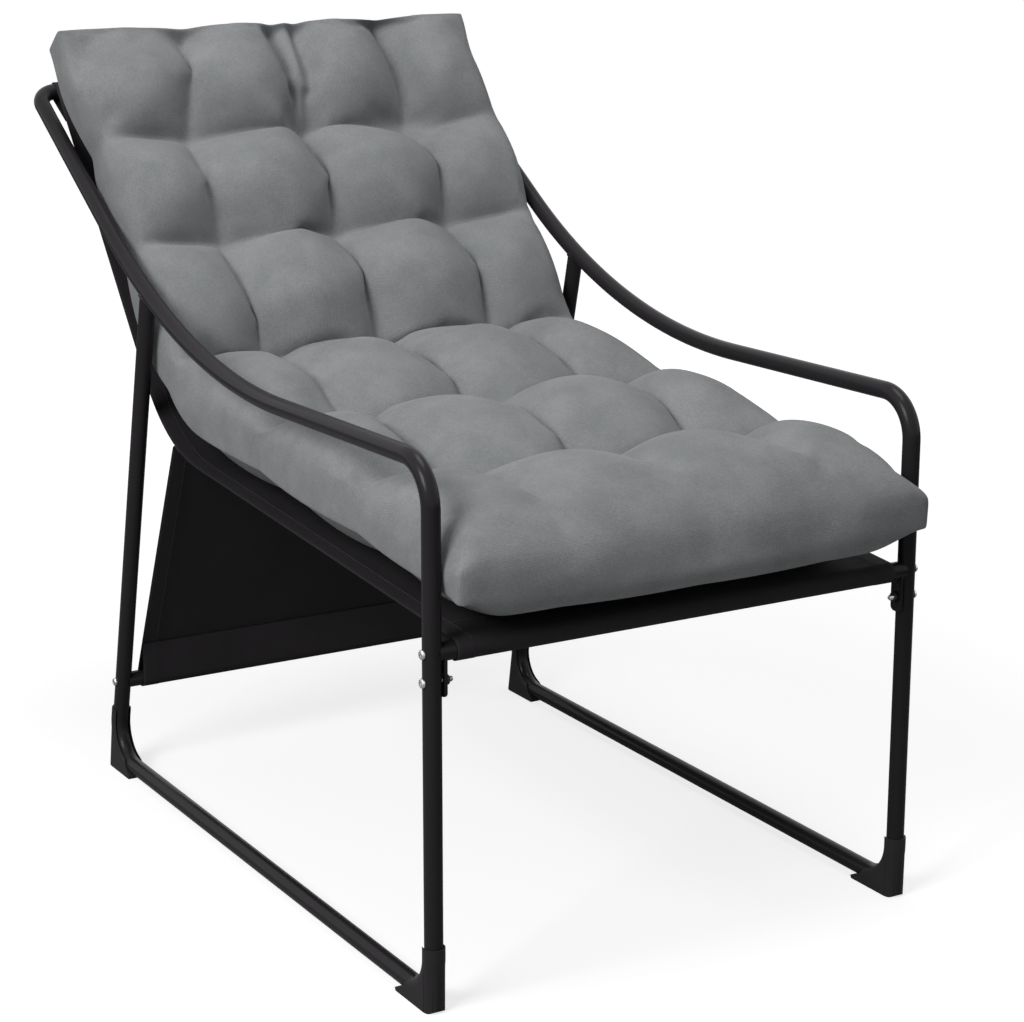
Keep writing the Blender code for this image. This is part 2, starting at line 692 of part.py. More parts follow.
PAD_MIDDLE = PAD_THICKNESS / 2 + CLOTH_THICKNESS / 2 + PAD_REST
PAD_TURN = SEAT_RUN.angle(BACK_RUN)
PAD_CORNER = SEAT_CORNER + PAD_MIDDLE * (left_normal(SEAT_RUN) - SEAT_RUN * math.tan(PAD_TURN / 2))
PAD_NOSE = PAD_CORNER - SEAT_RUN * (PAD_CORNER.x + PAD_OVERHANG) / SEAT_RUN.x
PAD_BEND_REACH = PAD_CORNER_RADIUS * math.tan(PAD_TURN / 2)
PAD_SEAT_LENGTH = (PAD_CORNER - PAD_NOSE).length - PAD_BEND_REACH
PAD_ARC_LENGTH = PAD_CORNER_RADIUS * PAD_TURN
PAD_BACK_LENGTH = (TOP_TOUCH - PAD_CORNER).dot(BACK_RUN) + PAD_ABOVE_RAIL - PAD_BEND_REACH
PAD_LENGTH = PAD_SEAT_LENGTH + PAD_ARC_LENGTH + PAD_BACK_LENGTH
PAD_ROWS = PAD_LOWER_ROWS + (PAD_LENGTH - sum(PAD_LOWER_ROWS),)


def pad_station(length):
    """Point and run of the pad's middle surface at a length from its front corners."""
    if length <= PAD_SEAT_LENGTH:
        return PAD_NOSE + SEAT_RUN * length, SEAT_RUN
    arc_start = PAD_NOSE + SEAT_RUN * PAD_SEAT_LENGTH
    past_seat = length - PAD_SEAT_LENGTH
    if past_seat <= PAD_ARC_LENGTH:
        centre = arc_start + left_normal(SEAT_RUN) * PAD_CORNER_RADIUS
        rotation = Matrix.Rotation(past_seat / PAD_CORNER_RADIUS, 2)
        return centre + rotation @ (arc_start - centre), rotation @ SEAT_RUN
    return PAD_CORNER + BACK_RUN * (PAD_BEND_REACH + past_seat - PAD_ARC_LENGTH), BACK_RUN


def swell(fraction):
    """Rise of the filling between two rows of stitches, steep beside each row."""
    return math.sin(math.pi * fraction) ** PAD_SWELL_POWER


def edge_fall(distance, length):
    """Share of the full thickness at a distance from the outer seam."""
    if distance >= length:
        return 1.0
    return math.sqrt(1 - (1 - distance / length) ** 2)


def ease(share):
    """From 0 to 1, flat at both ends."""
    share = min(max(share, 0), 1)
    return share * share * (3 - 2 * share)


def cell_marks(lengths, steps, edge_fractions):
    """Positions across the cells, each with its swell, and closer ones beside both outer seams."""
    marks = []
    start = 0.0
    for index, length in enumerate(lengths):
        fractions = [i / steps for i in range(steps)]
        if index == 0:
            fractions = [0.0] + list(edge_fractions) + [f for f in fractions if f > edge_fractions[-1]]
        if index == len(lengths) - 1:
            mirrored = [1 - f for f in reversed(edge_fractions)]
            fractions = [f for f in fractions if f < mirrored[0]] + mirrored
        for fraction in fractions:
            marks.append((start + fraction * length, index, fraction))
        start += length
    marks.append((start, len(lengths) - 1, 1.0))
    return marks


def cell_swell(index, fraction, count):
    """Swell in one direction; the outer cells stay full out to the seam."""
    if index == 0 and fraction < 0.5:
        return 1.0
    if index == count - 1 and fraction > 0.5:
        return 1.0
    return swell(fraction)


def seam_heights(along):
    """Heights of the upper and the under seam from the middle surface."""
    rise = max(0.0, 1 - (PAD_LENGTH - along) / PAD_TOP_SEAM_RUN)
    half = PAD_BAND / 2
    return half + (PAD_TOP_SEAM - half) * rise, half * (rise - 1)


def pad_heights(long_mark, cross_mark, columns):
    """Heights of the pad's upper and under side from its middle surface."""
    along, row, row_fraction = long_mark
    across, column, column_fraction = cross_mark
    row_rise = cell_swell(row, row_fraction, len(PAD_ROWS))
    valley = 1 - cell_swell(column, column_fraction, len(columns))
    if row == 0:
        valley *= PAD_FRONT_VALLEY + (1 - PAD_FRONT_VALLEY) * row_fraction
    creased = 1 - row_rise * (1 - valley)
    tufted = (1 - row_rise + valley) / 2
    sink = PAD_CREASE * creased + (1 - PAD_CREASE) * tufted
    end_fall = edge_fall(along, PAD_FRONT_ROUND) * edge_fall(PAD_LENGTH - along, PAD_TOP_ROUND)
    from_side = min(across, PAD_WIDTH - across)
    upper_fall = end_fall * edge_fall(from_side, PAD_SIDE_ROUND)
    under_fall = end_fall * ease(from_side / PAD_UNDER_SIDE_ROUND)
    full = PAD_THICKNESS / 2
    upper_seam, under_seam = seam_heights(along)
    upper = upper_seam + (full - PAD_TUFT_DEPTH * sink - upper_seam) * upper_fall
    under = under_seam - (full - PAD_UNDER_DEPTH * sink + under_seam) * under_fall
    return upper, under


def pad_mesh():
    half = PAD_WIDTH / 2
    outer = half - PAD_TUFT_SPACING * (PAD_TUFTS_ACROSS - 1) / 2
    columns = [outer] + [PAD_TUFT_SPACING] * (PAD_TUFTS_ACROSS - 1) + [outer]
    long_marks = cell_marks(PAD_ROWS, PAD_CELL_STEPS, PAD_END_MARKS)
    cross_marks = cell_marks(columns, PAD_CELL_STEPS, PAD_SIDE_MARKS)

    def build(bm):
        upper_side, under_side = [], []
        for long_mark in long_marks:
            along, row, fraction = long_mark
            centre, run = pad_station(along)
            drawn = PAD_SIDE_DRAW * (1 - cell_swell(row, fraction, len(PAD_ROWS)))
            ear = PAD_EAR * max(0, 1 - along / PAD_EAR_RUN, 1 - (PAD_LENGTH - along) / PAD_ROWS[-1])
            bow = PAD_BOW * max(0, 1 - along / PAD_ROWS[0])
            upper_side.append([])
            under_side.append([])
            for cross_mark in cross_marks:
                share = (cross_mark[0] - half) / half
                x = share * (half - drawn + ear)
                seam = centre - run * bow * (1 - share ** 2)
                heights = pad_heights(long_mark, cross_mark, columns)
                for side, height in zip((upper_side, under_side), heights):
                    point = seam + left_normal(run) * height
                    side[-1].append(bm.verts.new(place(x, point.x, point.y)))
        for side in (upper_side, under_side):
            for near, far in zip(side, side[1:]):
                for i in range(len(near) - 1):
                    bm.faces.new((near[i], near[i + 1], far[i + 1], far[i]))
        upper_rim, under_rim = rim(upper_side), rim(under_side)
        for i in range(len(upper_rim)):
            bm.faces.new((upper_rim[i - 1], upper_rim[i], under_rim[i], under_rim[i - 1]))
    return mesh_from("cushion", build)


def rim(rows):
    """The outer points of a grid, once round."""
    left = [row[0] for row in rows[1:-1]]
    right = [row[-1] for row in rows[1:-1]]
    return rows[0] + right + list(reversed(rows[-1])) + list(reversed(left))


# Build

for old in list(bpy.data.objects):
    bpy.data.objects.remove(old)

PAD_TOP, _ = pad_station(PAD_LENGTH)
REAR_REACH = max(PAD_TOP.x, TOP_RAIL_DISTANCE + SLEEVE_RADIUS + CLOTH_THICKNESS / 2)
FRONT_REACH = PAD_OVERHANG + PAD_BOW + PAD_BAND / 2 * SEAT_RUN.y
DATUM = (REAR_REACH - FRONT_REACH) / 2

chair = bpy.data.objects.new("chair", None)
bpy.context.scene.collection.objects.link(chair)
chair.location = (0, -DATUM, 0)

frame_paint = material("frame_paint", (0.021, 0.019, 0.022), 0.42, 0.0)
foot_plastic = material("foot_plastic", (0.026, 0.025, 0.027), 0.55)
zinc = material("zinc", (0.62, 0.62, 0.63), 0.35, 1.0)
black_oxide = material("black_oxide", (0.02, 0.02, 0.02), 0.45, 0.6)
sling_cloth = material("sling_cloth", (0.017, 0.016, 0.018), 0.85)
pad_cloth = material("pad_cloth", (0.21, 0.22, 0.225), 0.95)

for side_label, side_sign in SIDES:
    side_frame(side_label, side_sign)

front_legs = leg_clearances("front leg clearance", flat(0, BASE_HEIGHT), flat(0, ARM_HEIGHT))
rear_legs = leg_clearances("rear leg clearance", REAR_CORNER, rear_leg_at(2 * REAR_RAIL_HEIGHT))
cross_rail("front_rail", FRONT_RAIL, front_legs)
cross_rail("rear_rail", REAR_RAIL, rear_legs)
top_rail()

rail_line = [place(-SIDE_X, 0, FRONT_RAIL_HEIGHT), place(SIDE_X, 0, FRONT_RAIL_HEIGHT)]
rail_tabs(cutter("rail clearance", rod_mesh("rail clearance", rail_line, TUBE_RADIUS + FIT_GAP)))
fasteners()
corner_feet()

add_object("sling_panel", cloth_mesh("sling_panel", sling_line(), SLING_WIDTH), sling_cloth)
add_object("tail_panel", cloth_mesh("tail_panel", tail_line(), SLING_WIDTH), sling_cloth)
add_object("cushion", pad_mesh(), pad_cloth, 180)
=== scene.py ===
"""Looks of a garden lounge chair: bent steel tube frame, fabric sling and a loose tufted pad.

Metres, +Z up, floor at Z = 0. The chair faces -Y, and left is -X, as seen from the front.
Distances run back from the front legs' axis, and heights up from the floor.
"""

import json
import math

import bmesh
import bpy
import numpy as np
from mathutils import Matrix, Vector


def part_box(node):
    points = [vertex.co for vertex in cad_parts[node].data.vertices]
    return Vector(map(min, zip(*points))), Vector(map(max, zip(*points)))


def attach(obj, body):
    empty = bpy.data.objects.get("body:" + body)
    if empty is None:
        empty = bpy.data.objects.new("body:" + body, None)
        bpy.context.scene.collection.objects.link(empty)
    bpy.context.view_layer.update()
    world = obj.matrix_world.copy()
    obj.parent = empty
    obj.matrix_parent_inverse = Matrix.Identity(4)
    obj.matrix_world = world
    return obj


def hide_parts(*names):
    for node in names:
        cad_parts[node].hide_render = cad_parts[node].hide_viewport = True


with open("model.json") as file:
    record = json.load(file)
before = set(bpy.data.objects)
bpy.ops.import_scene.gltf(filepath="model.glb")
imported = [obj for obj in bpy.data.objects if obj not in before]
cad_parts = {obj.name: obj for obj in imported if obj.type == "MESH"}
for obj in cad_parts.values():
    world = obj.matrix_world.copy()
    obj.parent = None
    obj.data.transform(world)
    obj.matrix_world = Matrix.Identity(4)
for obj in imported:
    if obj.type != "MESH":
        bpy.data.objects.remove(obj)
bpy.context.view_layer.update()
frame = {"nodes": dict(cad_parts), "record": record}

# Frame
SIDE_X = 0.300
TUBE_RADIUS = 0.010
TUBE_WALL = 0.0012
TUBE_SIDES = 40
BEND_SAGITTA = 0.00005        # how far a bend's straight steps stay from its arc
BASE_HEIGHT = 0.014
BASE_LENGTH = 0.849
FOOT_BEND_RADIUS = 0.045
LEG_JOINT_RISE = 0.003
REAR_LEG_LEAN = math.radians(13.6)
ARM_HEIGHT = 0.583
ARM_FALL = math.radians(1.6)
ARM_FRONT_RADIUS = 0.048
ARM_SWEEP_DISTANCE = 0.591
ARM_SWEEP_RADIUS = 0.839
UPRIGHT_RISE = math.radians(31.9)
TOP_RAIL_DISTANCE = 1.045
TOP_CORNER_RADIUS = 0.028
TOP_CORNER_STUB = 0.040
WELD_RADIUS = 0.0016
WELD_POINTS = 96
WELD_RIPPLES = 24
WELD_RIPPLE = 0.12
HOLE_RING = 0.008             # from a bolt's axis to the rings above and below its hole
FRONT_RAIL_HEIGHT = 0.388
REAR_RAIL_HEIGHT = 0.121
RAIL_TIP_SETBACK = 0.005
PAINT_GAP = 0.0002
NOTCH_REACH = 0.04            # half the length of the tool that notches a rail
LEG_LENGTH_RANGE = (0.40, 0.80)
SMOOTH_ANGLE = math.radians(35)
PIN_SIDES = 24
TURNED_STEPS = 36

# Fasteners
BOLT_HEAD_RADIUS = 0.00525
BOLT_HEAD_HEIGHT = 0.0032
BOLT_DOME = 0.0021
DOME_STEPS = 8
BOLT_EDGE = 0.0003
BOLT_TIP = 0.0002
BOLT_ROOT = 0.0025
BOLT_CREST = 0.003
BOLT_PITCH = 0.001
CREST_SHARE = 0.15            # of the pitch, where a crest ends
ROOT_SHARE = 0.575            # of the pitch, where the root lies
SOCKET_RADIUS = 0.0023
SOCKET_DEPTH = 0.0018
TAB_BOLT_LENGTH = 0.033
RAIL_BOLT_LENGTH = 0.045
TAB_BOLT_DROP = 0.030
NUT_RADIUS = 0.0058
NUT_HEIGHT = 0.005
NUT_CHAMFER = 0.0010
NUT_FACE_SHARE = 0.84         # of the nut's radius, at its faces
NUT_BARREL_SHARE = 1.02
NUT_MARGIN = 0.001
SEAT_GAP = 0.0001
TAB_WIDTH = 0.018
TAB_EDGE_ROUND = 0.0004
TAB_MARGIN = 0.01
THREAD_LENGTH = 0.022

# Corner feet
FOOT_CHEEK = 0.0022
FOOT_COLLAR_RISE = 0.012      # past the tube's bend, up the leg
FOOT_CHEEK_SETBACK = 0.014    # of the cheeks' ends from the end of the tube's bend
FOOT_TRIM = 0.001             # how far the side outline stands off the rounded hull
SOLE_LENGTH = 0.062           # from the leg's axis
FRONT_TOE_INSET = 0.001
REAR_TOE_INSET = 0.006
FOOT_TOE_RADIUS = 0.009
FOOT_EDGE_ROUND = 0.0009
FOOT_SOLE_END = 0.0036        # height of the sole's end, under the base tube
FOOT_SOLE_BEVEL = 0.002
FOOT_CHEEK_TURN = 0.012       # height where the cheek's end turns in to the sole
FOOT_CHEEK_RADIUS = 0.004
FOOT_CLEARANCE = 0.0003

# Sling
CLOTH = 0.0006                # one layer
SLING_WIDTH = 0.552
SLEEVE_RADIUS = 0.0110
HEM = 0.022
HEM_STEP = 0.0012
HEM_RISE = 0.45               # share of a layer by which the fold stands up
HEM_ROLL = 0.0009
HEM_THIN = 0.25               # share of a layer that is left at the rolled edge
SHEET_STEP = 0.012
CLOTH_SHARP_ANGLE = math.radians(50)
SLING_WEAVE = 0.0012          # from thread to thread
SLING_SAG = 0.0012
SAG_START = 0.09
TAIL_WAVE = 0.0009
WAVE_START = 0.03
SEAT_CORNER = Vector((0.714, 0.447))
SEAT_CORNER_RADIUS = 0.200
POCKET_LAYER = 0.0022         # between the panel and the pocket's inner layer at their seam
FRONT_POCKET = 0.050
TOP_POCKET = 0.050
REAR_POCKET = 0.048
TAIL_FOLD_SHARE = 0.41
TAIL_FLAP = 0.018
TAIL_DROP = 0.0020            # of the tail's flap under the sling
TAIL_FOLD_RADIUS = 0.005
STITCH_PITCH = 0.0058
STITCH_LENGTH = 0.0042
STITCH_RADIUS = 0.00032
STITCH_RINGS = ((-0.5, 0.35), (-0.36, 0.9), (0.36, 0.9), (0.5, 0.35))     # place and size, as shares
SEAM_STEP = 0.006
SEAM_INSET = 0.005            # of a seam from the pocket's end
SEAM_MARGIN = 0.004           # from a seam's end to the sheet's edge
HEM_SEAM_INSET = 0.0025

# Pad
PAD_WEAVE = 0.0018
PAD_WIDTH = 0.574
PAD_THICKNESS = 0.126
PAD_OVERHANG = 0.042
PAD_BOW = 0.016
PAD_CORNER_RADIUS = 0.210
PAD_LOWER_ROWS = (0.242, 0.240, 0.255, 0.178, 0.152)
PAD_ABOVE_RAIL = 0.014
TUFT_SPACING = 0.162
TUFT_DEPTH = 0.052
UNDER_DEPTH = 0.012
CREASE = 0.5
SIDE_CREASE = 0.55            # share of a crease's depth that is left at the side seams
SIDE_CREASE_RUN = 0.080
PAD_MIDDLE = 0.0642           # of the pad's middle surface above the sling's
COVER_CROWN = 0.058           # height of the cover's crown before the filling presses it out
FRONT_ROUND = 0.115
UNDER_FRONT_ROUND = 0.160
TOP_ROUND = 0.020
SIDE_ROUND = 0.036
UNDER_SIDE_ROUND = 0.065
PAD_BAND = 0.032
TOP_SEAM = 0.045
TOP_SEAM_RUN = 0.070
FRONT_FULL = 0.10             # length over which the front keeps the pad's full thickness
TOP_SINK = 0.006
TOP_SINK_RUN = 0.08
SEAM_NICK = 0.006             # where a crease meets the top seam
SEAM_NICK_RUN = 0.02
SIDE_DRAW = {-1: 0.008, 1: 0.002}       # beside a row of tufts, on the left and on the right
FRONT_EAR = {-1: 0.006, 1: 0.013}
FRONT_EAR_RUN = 0.030
FRONT_CORNER_ROUND = 0.010
TOP_EAR = {-1: 0.013, 1: -0.009}
TOP_GATHER = (0, 0.042, 0.013, -0.006, 0)     # how far the top row's creases lean at the top end
BAND_STEPS = 4
SWELL_POWER = 0.9
TUFT_SPOT = 0.006             # radius of the spot that a tuft's thread holds down
SEAM_HOLD = 0.1               # how firmly the upper seam keeps its place
TOP_SEAM_HOLD = 0.8
FRONT_TAUT = 0.06             # the cover is taut up to here, and less over the run
FRONT_TAUT_RUN = 0.12
SIDE_TAUT_RUN = 0.09
TOP_TAUT_RUN = 0.08
GRID_STEP = 0.009
GRID_FINEST = 0.003
GRID_EDGE = 0.050
SWELL_FRAMES = 20
SWELL_LIMIT = 0.030
FOLD_HALF = 0.014             # half the width of the fold in the top row's middle crease
FOLD_RISE = 0.55              # share of the crease's depth that the fold fills
FOLD_SPREAD = 1.6             # how soon the fold reaches its height, going in from its creases

SIDES = (("left", -1), ("right", 1))
LEG_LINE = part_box("left_front_rail_bolt")
FRONT_LEG_Y = (LEG_LINE[0].y + LEG_LINE[1].y) / 2
ARM_SWEEP_HEIGHT = ARM_HEIGHT - math.tan(ARM_FALL) * ARM_SWEEP_DISTANCE
TOP_RAIL_HEIGHT = ARM_SWEEP_HEIGHT + math.tan(UPRIGHT_RISE) * (TOP_RAIL_DISTANCE - ARM_SWEEP_DISTANCE)
REAR_LEG_RUN = Vector((-math.sin(REAR_LEG_LEAN), math.cos(REAR_LEG_LEAN)))
REAR_CORNER = Vector((BASE_LENGTH, BASE_HEIGHT))


def place(x, distance, height):
    return Vector((x, distance + FRONT_LEG_Y, height))


def rear_leg_at(height):
    return REAR_CORNER + REAR_LEG_RUN * (height - BASE_HEIGHT) / REAR_LEG_RUN.y


UPRIGHT = Vector((0, 1))
FRONT_RAIL = Vector((0, FRONT_RAIL_HEIGHT))
TAB_POINT = Vector((0, FRONT_RAIL_HEIGHT - TAB_BOLT_DROP))
REAR_RAIL = rear_leg_at(REAR_RAIL_HEIGHT)
TOP_RAIL = Vector((TOP_RAIL_DISTANCE, TOP_RAIL_HEIGHT))


def clear_startup():
    """Take away the startup file's own cube, lamp and camera."""
    for name in ("Cube", "Light", "Camera"):
        if name in bpy.data.objects:
            bpy.data.objects.remove(bpy.data.objects[name])


# Camera and light

CAMERA_SPOT = (-1.5095, -2.2079, 1.2044)      # x, distance and height
CAMERA_YAW = math.radians(30.51)
CAMERA_PITCH = math.radians(14.9)
CAMERA_ROLL = math.radians(-0.08)
CAMERA_LENS = 93.13
SENSOR_WIDTH = 36
AMBIENT = 0.16
LIGHT_AIM = Vector((0, 0, 0.45))
PANELS = (                    # name, place, size and power
    ("key_panel", (-2.9, -1.2, 2.5), 1.5, 104),
    ("top_panel", (0.1, -0.2, 3.4), 1.5, 44),
    ("fill_panel", (2.6, -2.0, 1.4), 2.0, 6),
)
FLOOR_SIZE = 60
FLOOR_GLOW = (0.75, 0.95, 0.7, 2.6)           # from and to, and the distances for these
WHITE = (1, 1, 1, 1)


def photo_camera():
    bpy.ops.object.camera_add()
    camera = bpy.context.object
    camera.name = "photo_camera"
    camera.data.lens = CAMERA_LENS
    camera.data.sensor_width = SENSOR_WIDTH
    camera.location = place(*CAMERA_SPOT)
    camera.rotation_euler = (math.pi / 2 - CAMERA_PITCH, CAMERA_ROLL, -CAMERA_YAW)
    bpy.context.scene.camera = camera


def white_world():
    """White to the camera and in reflections, and a weaker soft light on the chair."""
    world = bpy.data.worlds.new("studio")
    bpy.context.scene.world = world
    world.use_nodes = True
    tree = world.node_tree
    path = tree.nodes.new("ShaderNodeLightPath")
    seen = path.outputs["Is Camera Ray"]
    for kind in ("Is Glossy Ray", "Is Transmission Ray"):
        seen = combined(tree, "MAXIMUM", seen, path.outputs[kind])
    strength = spread(tree, seen, AMBIENT, 1.0, 0.0, 1.0)
    feed(tree, tree.nodes["Background"], {"Color": WHITE, "Strength": strength})


def soft_panels():
    """A large key from the upper left, one over the chair, and a low fill from the right."""
    for name, spot, size, power in PANELS:
        bpy.ops.object.light_add(type="AREA", location=spot)
        lamp = bpy.context.object
        lamp.name = name
        lamp.data.size = size
        lamp.data.energy = power
        lamp.rotation_euler = (LIGHT_AIM - Vector(spot)).to_track_quat("-Z", "Y").to_euler()


def pale_floor():
    """Floor that stays near white to the camera, also far off, and keeps the chair's shadow."""
    material, tree = new_finish("pale_floor")
    where = tree.nodes.new("ShaderNodeTexCoord")
    away = add_node(tree, "ShaderNodeVectorMath", {0: where.outputs["Object"]}, operation="LENGTH")
    glow = spread(tree, away.outputs["Value"], *FLOOR_GLOW)
    path = tree.nodes.new("ShaderNodeLightPath")
    dress(tree, {
        "Base Color": (0.38, 0.38, 0.38, 1),
        "Roughness": 0.9,
        "Specular IOR Level": 0.0,
        "Emission Color": WHITE,
        "Emission Strength": combined(tree, "MULTIPLY", path.outputs["Is Camera Ray"], glow),
    })
    bpy.ops.mesh.primitive_plane_add(size=FLOOR_SIZE, location=(0, 0, 0))
    floor = bpy.context.object
    floor.name = "floor"
    floor.data.materials.append(material)


# Shader nodes

def feed(tree, node, inputs):
    """Link each named input to an output, or set it to a value."""
    for key, value in inputs.items():
        if isinstance(value, bpy.types.NodeSocket):
            tree.links.new(value, node.inputs[key])
        else:
            node.inputs[key].default_value = value


def add_node(tree, kind, inputs, **settings):
    node = tree.nodes.new(kind)
    for key, value in settings.items():
        setattr(node, key, value)
    feed(tree, node, inputs)
    return node


def combined(tree, operation, one, other):
    return add_node(tree, "ShaderNodeMath", {0: one, 1: other}, operation=operation).outputs[0]


def spread(tree, source, low, high, low_at=0.3, high_at=0.7):
    """Map a value from one range to another, and clamp it."""
    inputs = {"Value": source, "From Min": low_at, "From Max": high_at, "To Min": low, "To Max": high}
    return add_node(tree, "ShaderNodeMapRange", inputs).outputs["Result"]


def mixed(tree, share, one, other, blend_type="MIX"):
    inputs = {"Factor": share, "A": one, "B": other}
    return add_node(tree, "ShaderNodeMix", inputs, data_type="RGBA", blend_type=blend_type).outputs["Result"]


def noise(tree, scale, detail, roughness=0.5):
    """Noise on object coordinates."""
    where = tree.nodes.new("ShaderNodeTexCoord").outputs["Object"]
    inputs = {"Vector": where, "Scale": scale, "Detail": detail, "Roughness": roughness}
    return add_node(tree, "ShaderNodeTexNoise", inputs).outputs["Fac"]


def threads(tree, pitch):
    """Height of a plain weave on the piece's own cloth map, which is in metres."""
    where = add_node(tree, "ShaderNodeUVMap", {}, uv_map="cloth").outputs["UV"]
    inputs = {"Vector": where, "Scale": math.pi / 10 / pitch, "Distortion": 0.3, "Detail": 1.0}
    waves = [add_node(tree, "ShaderNodeTexWave", inputs, bands_direction=axis) for axis in ("X", "Y")]
    return combined(tree, "MULTIPLY", waves[0].outputs["Fac"], waves[1].outputs["Fac"])


# Finishes

def new_finish(name):
    material = bpy.data.materials.new(name)
    material.use_nodes = True
    return material, material.node_tree


def dress(tree, inputs):
    feed(tree, tree.nodes["Principled BSDF"], inputs)


def bump(tree, height, distance, under=None):
    """A relief on the shader, over the normal of another relief where one is given."""
    inputs = {"Height": height, "Distance": distance}
    if under:
        inputs["Normal"] = under
    normal = add_node(tree, "ShaderNodeBump", inputs).outputs["Normal"]
    dress(tree, {"Normal": normal})
    return normal


def clouded(name, cloud, dark, light, inputs, gloss=None, grain=None):
    """A finish whose colour, and roughness where gloss gives its range, follow one cloud of noise.

    cloud is the noise's scale and detail, and grain those of a fine relief and its depth.
    """
    material, tree = new_finish(name)
    share = noise(tree, *cloud)
    dress(tree, {"Base Color": mixed(tree, share, (*dark, 1), (*light, 1)), **inputs})
    if gloss:
        dress(tree, {"Roughness": spread(tree, share, *gloss)})
    if grain:
        scale, detail, depth = grain
        bump(tree, noise(tree, scale, detail), depth)
    return material


def satin_paint():
    """Black powder coat: a faint orange peel and a slightly uneven gloss."""
    return clouded("satin_black_paint", (9.0, 3.0), (0.0172, 0.0155, 0.0172), (0.0212, 0.0192, 0.0212),
                   {"Specular IOR Level": 0.10}, gloss=(0.20, 0.28), grain=(900.0, 2.0, 0.00004))


def moulded_plastic():
    """Black polypropylene with a fine spark-eroded grain."""
    return clouded("moulded_black_plastic", (25.0, 2.0), (0.0212, 0.0195, 0.0212), (0.0262, 0.0240, 0.0262),
                   {"Specular IOR Level": 0.15}, gloss=(0.44, 0.56), grain=(2200.0, 3.0, 0.00008))


def bright_zinc():
    return clouded("bright_zinc", (260.0, 4.0), (0.52, 0.53, 0.55), (0.74, 0.74, 0.73),
                   {"Metallic": 1.0}, gloss=(0.24, 0.40))


def blackened_steel():
    return clouded("blackened_steel", (300.0, 3.0), (0.014, 0.014, 0.015), (0.026, 0.025, 0.024),
                   {"Metallic": 0.6}, gloss=(0.38, 0.52))


def sewing_thread():
    return clouded("black_sewing_thread", (1500.0, 1.0), (0.022, 0.020, 0.022), (0.045, 0.042, 0.045),
                   {"Roughness": 0.6})


def sling_cloth():
    """Near black polyester of the sling and the tail."""
    material = clouded("black_sling_cloth", (12.0, 4.0), (0.0170, 0.0152, 0.0170), (0.0250, 0.0225, 0.0250),
                       {"Roughness": 0.72, "Specular IOR Level": 0.12})
    bump(material.node_tree, threads(material.node_tree, SLING_WEAVE), 0.00020)
    return material


def pad_cloth():
    """Mid grey outdoor cloth: fine weave, soft mottling and a little fuzz at glancing angles."""
    material, tree = new_finish("grey_pad_cloth")
    patches = spread(tree, noise(tree, 16.0, 5.0, 0.6), 0.0, 1.0, 0.36, 0.64)
    speckle = noise(tree, 420.0, 3.0)
    ribs = threads(tree, PAD_WEAVE)
    colour = mixed(tree, patches, (0.222, 0.232, 0.237, 1), (0.278, 0.286, 0.289, 1))
    for share in (spread(tree, speckle, 0.0, 0.8, 0.35, 0.65), spread(tree, ribs, 1.0, 0.0, 0.0, 0.6)):
        colour = mixed(tree, share, colour, (0.80, 0.80, 0.81, 1), "MULTIPLY")
    dress(tree, {
        "Base Color": colour,
        "Roughness": 0.92,
        "Specular IOR Level": 0.25,
        "Sheen Weight": 0.10,
        "Sheen Roughness": 0.5,
    })
    bump(tree, speckle, 0.00020, bump(tree, ribs, 0.00030))
    return material


# Modelling by hand

def pick(piece):
    """Select one piece alone."""
    bpy.ops.object.select_all(action="DESELECT")
    piece.select_set(True)
    bpy.context.view_layer.objects.active = piece


def begin_edit(piece, mode, wanted=lambda item: True):
    """Open one piece for editing, with only what a test accepts selected."""
    pick(piece)
    bpy.ops.object.mode_set(mode="EDIT")
    bpy.ops.mesh.select_mode(type=mode)
    bpy.ops.mesh.select_all(action="DESELECT")
    opened = bmesh.from_edit_mesh(piece.data)
    for item in opened.verts if mode == "VERT" else opened.edges:
        item.select_set(wanted(item))
    opened.select_flush_mode()
    bmesh.update_edit_mesh(piece.data)


def end_edit():
    bpy.ops.object.mode_set(mode="OBJECT")


def shade(piece):
    """Smooth, with sharp edges where the faces turn."""
    pick(piece)
    bpy.ops.object.shade_smooth_by_angle(angle=SMOOTH_ANGLE)


def settle(piece):
    """Merge doubles, turn the faces outwards and set the shading."""
    begin_edit(piece, "VERT")
    bpy.ops.mesh.remove_doubles(threshold=1e-6)
    bpy.ops.mesh.normals_make_consistent(inside=False)
    end_edit()
    shade(piece)


def apply_modifier(piece, kind, **settings):
    bpy.context.view_layer.objects.active = piece
    modifier = piece.modifiers.new(kind.lower(), kind)
    for key, value in settings.items():
        setattr(modifier, key, value)
    bpy.ops.object.modifier_apply(modifier=modifier.name)


def cut(piece, tool, operation="DIFFERENCE"):
    """Cut a piece by a tool, which is then thrown away."""
    apply_modifier(piece, "BOOLEAN", object=tool, operation=operation, solver="EXACT")
    bpy.data.objects.remove(tool)


def started(name):
    """Name the piece just made, and put its place and turn into its points."""
    piece = bpy.context.object
    piece.name = name
    bpy.ops.object.transform_apply(location=True, rotation=True, scale=True)
    return piece


def new_piece(name, data):
    piece = bpy.data.objects.new(name, data)
    bpy.context.scene.collection.objects.link(piece)
    return piece


def copied(piece, name, matrix):
    """A copy with its own mesh, moved by a matrix."""
    copy = new_piece(name, piece.data.copy())
    copy.data.transform(matrix)
    return copy


def belong(piece, slot, *nodes, body="chair_frame"):
    """Give a piece its finish and the body that it rides on, and hide the nodes that it stands for."""
    piece.data.materials.clear()
    piece.data.materials.append(FINISHES[slot])
    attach(piece, body)
    if nodes:
        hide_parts(*nodes)


def bend_steps(radius, turn):
    return max(3, math.ceil(turn / (2 * math.acos(1 - BEND_SAGITTA / radius))))


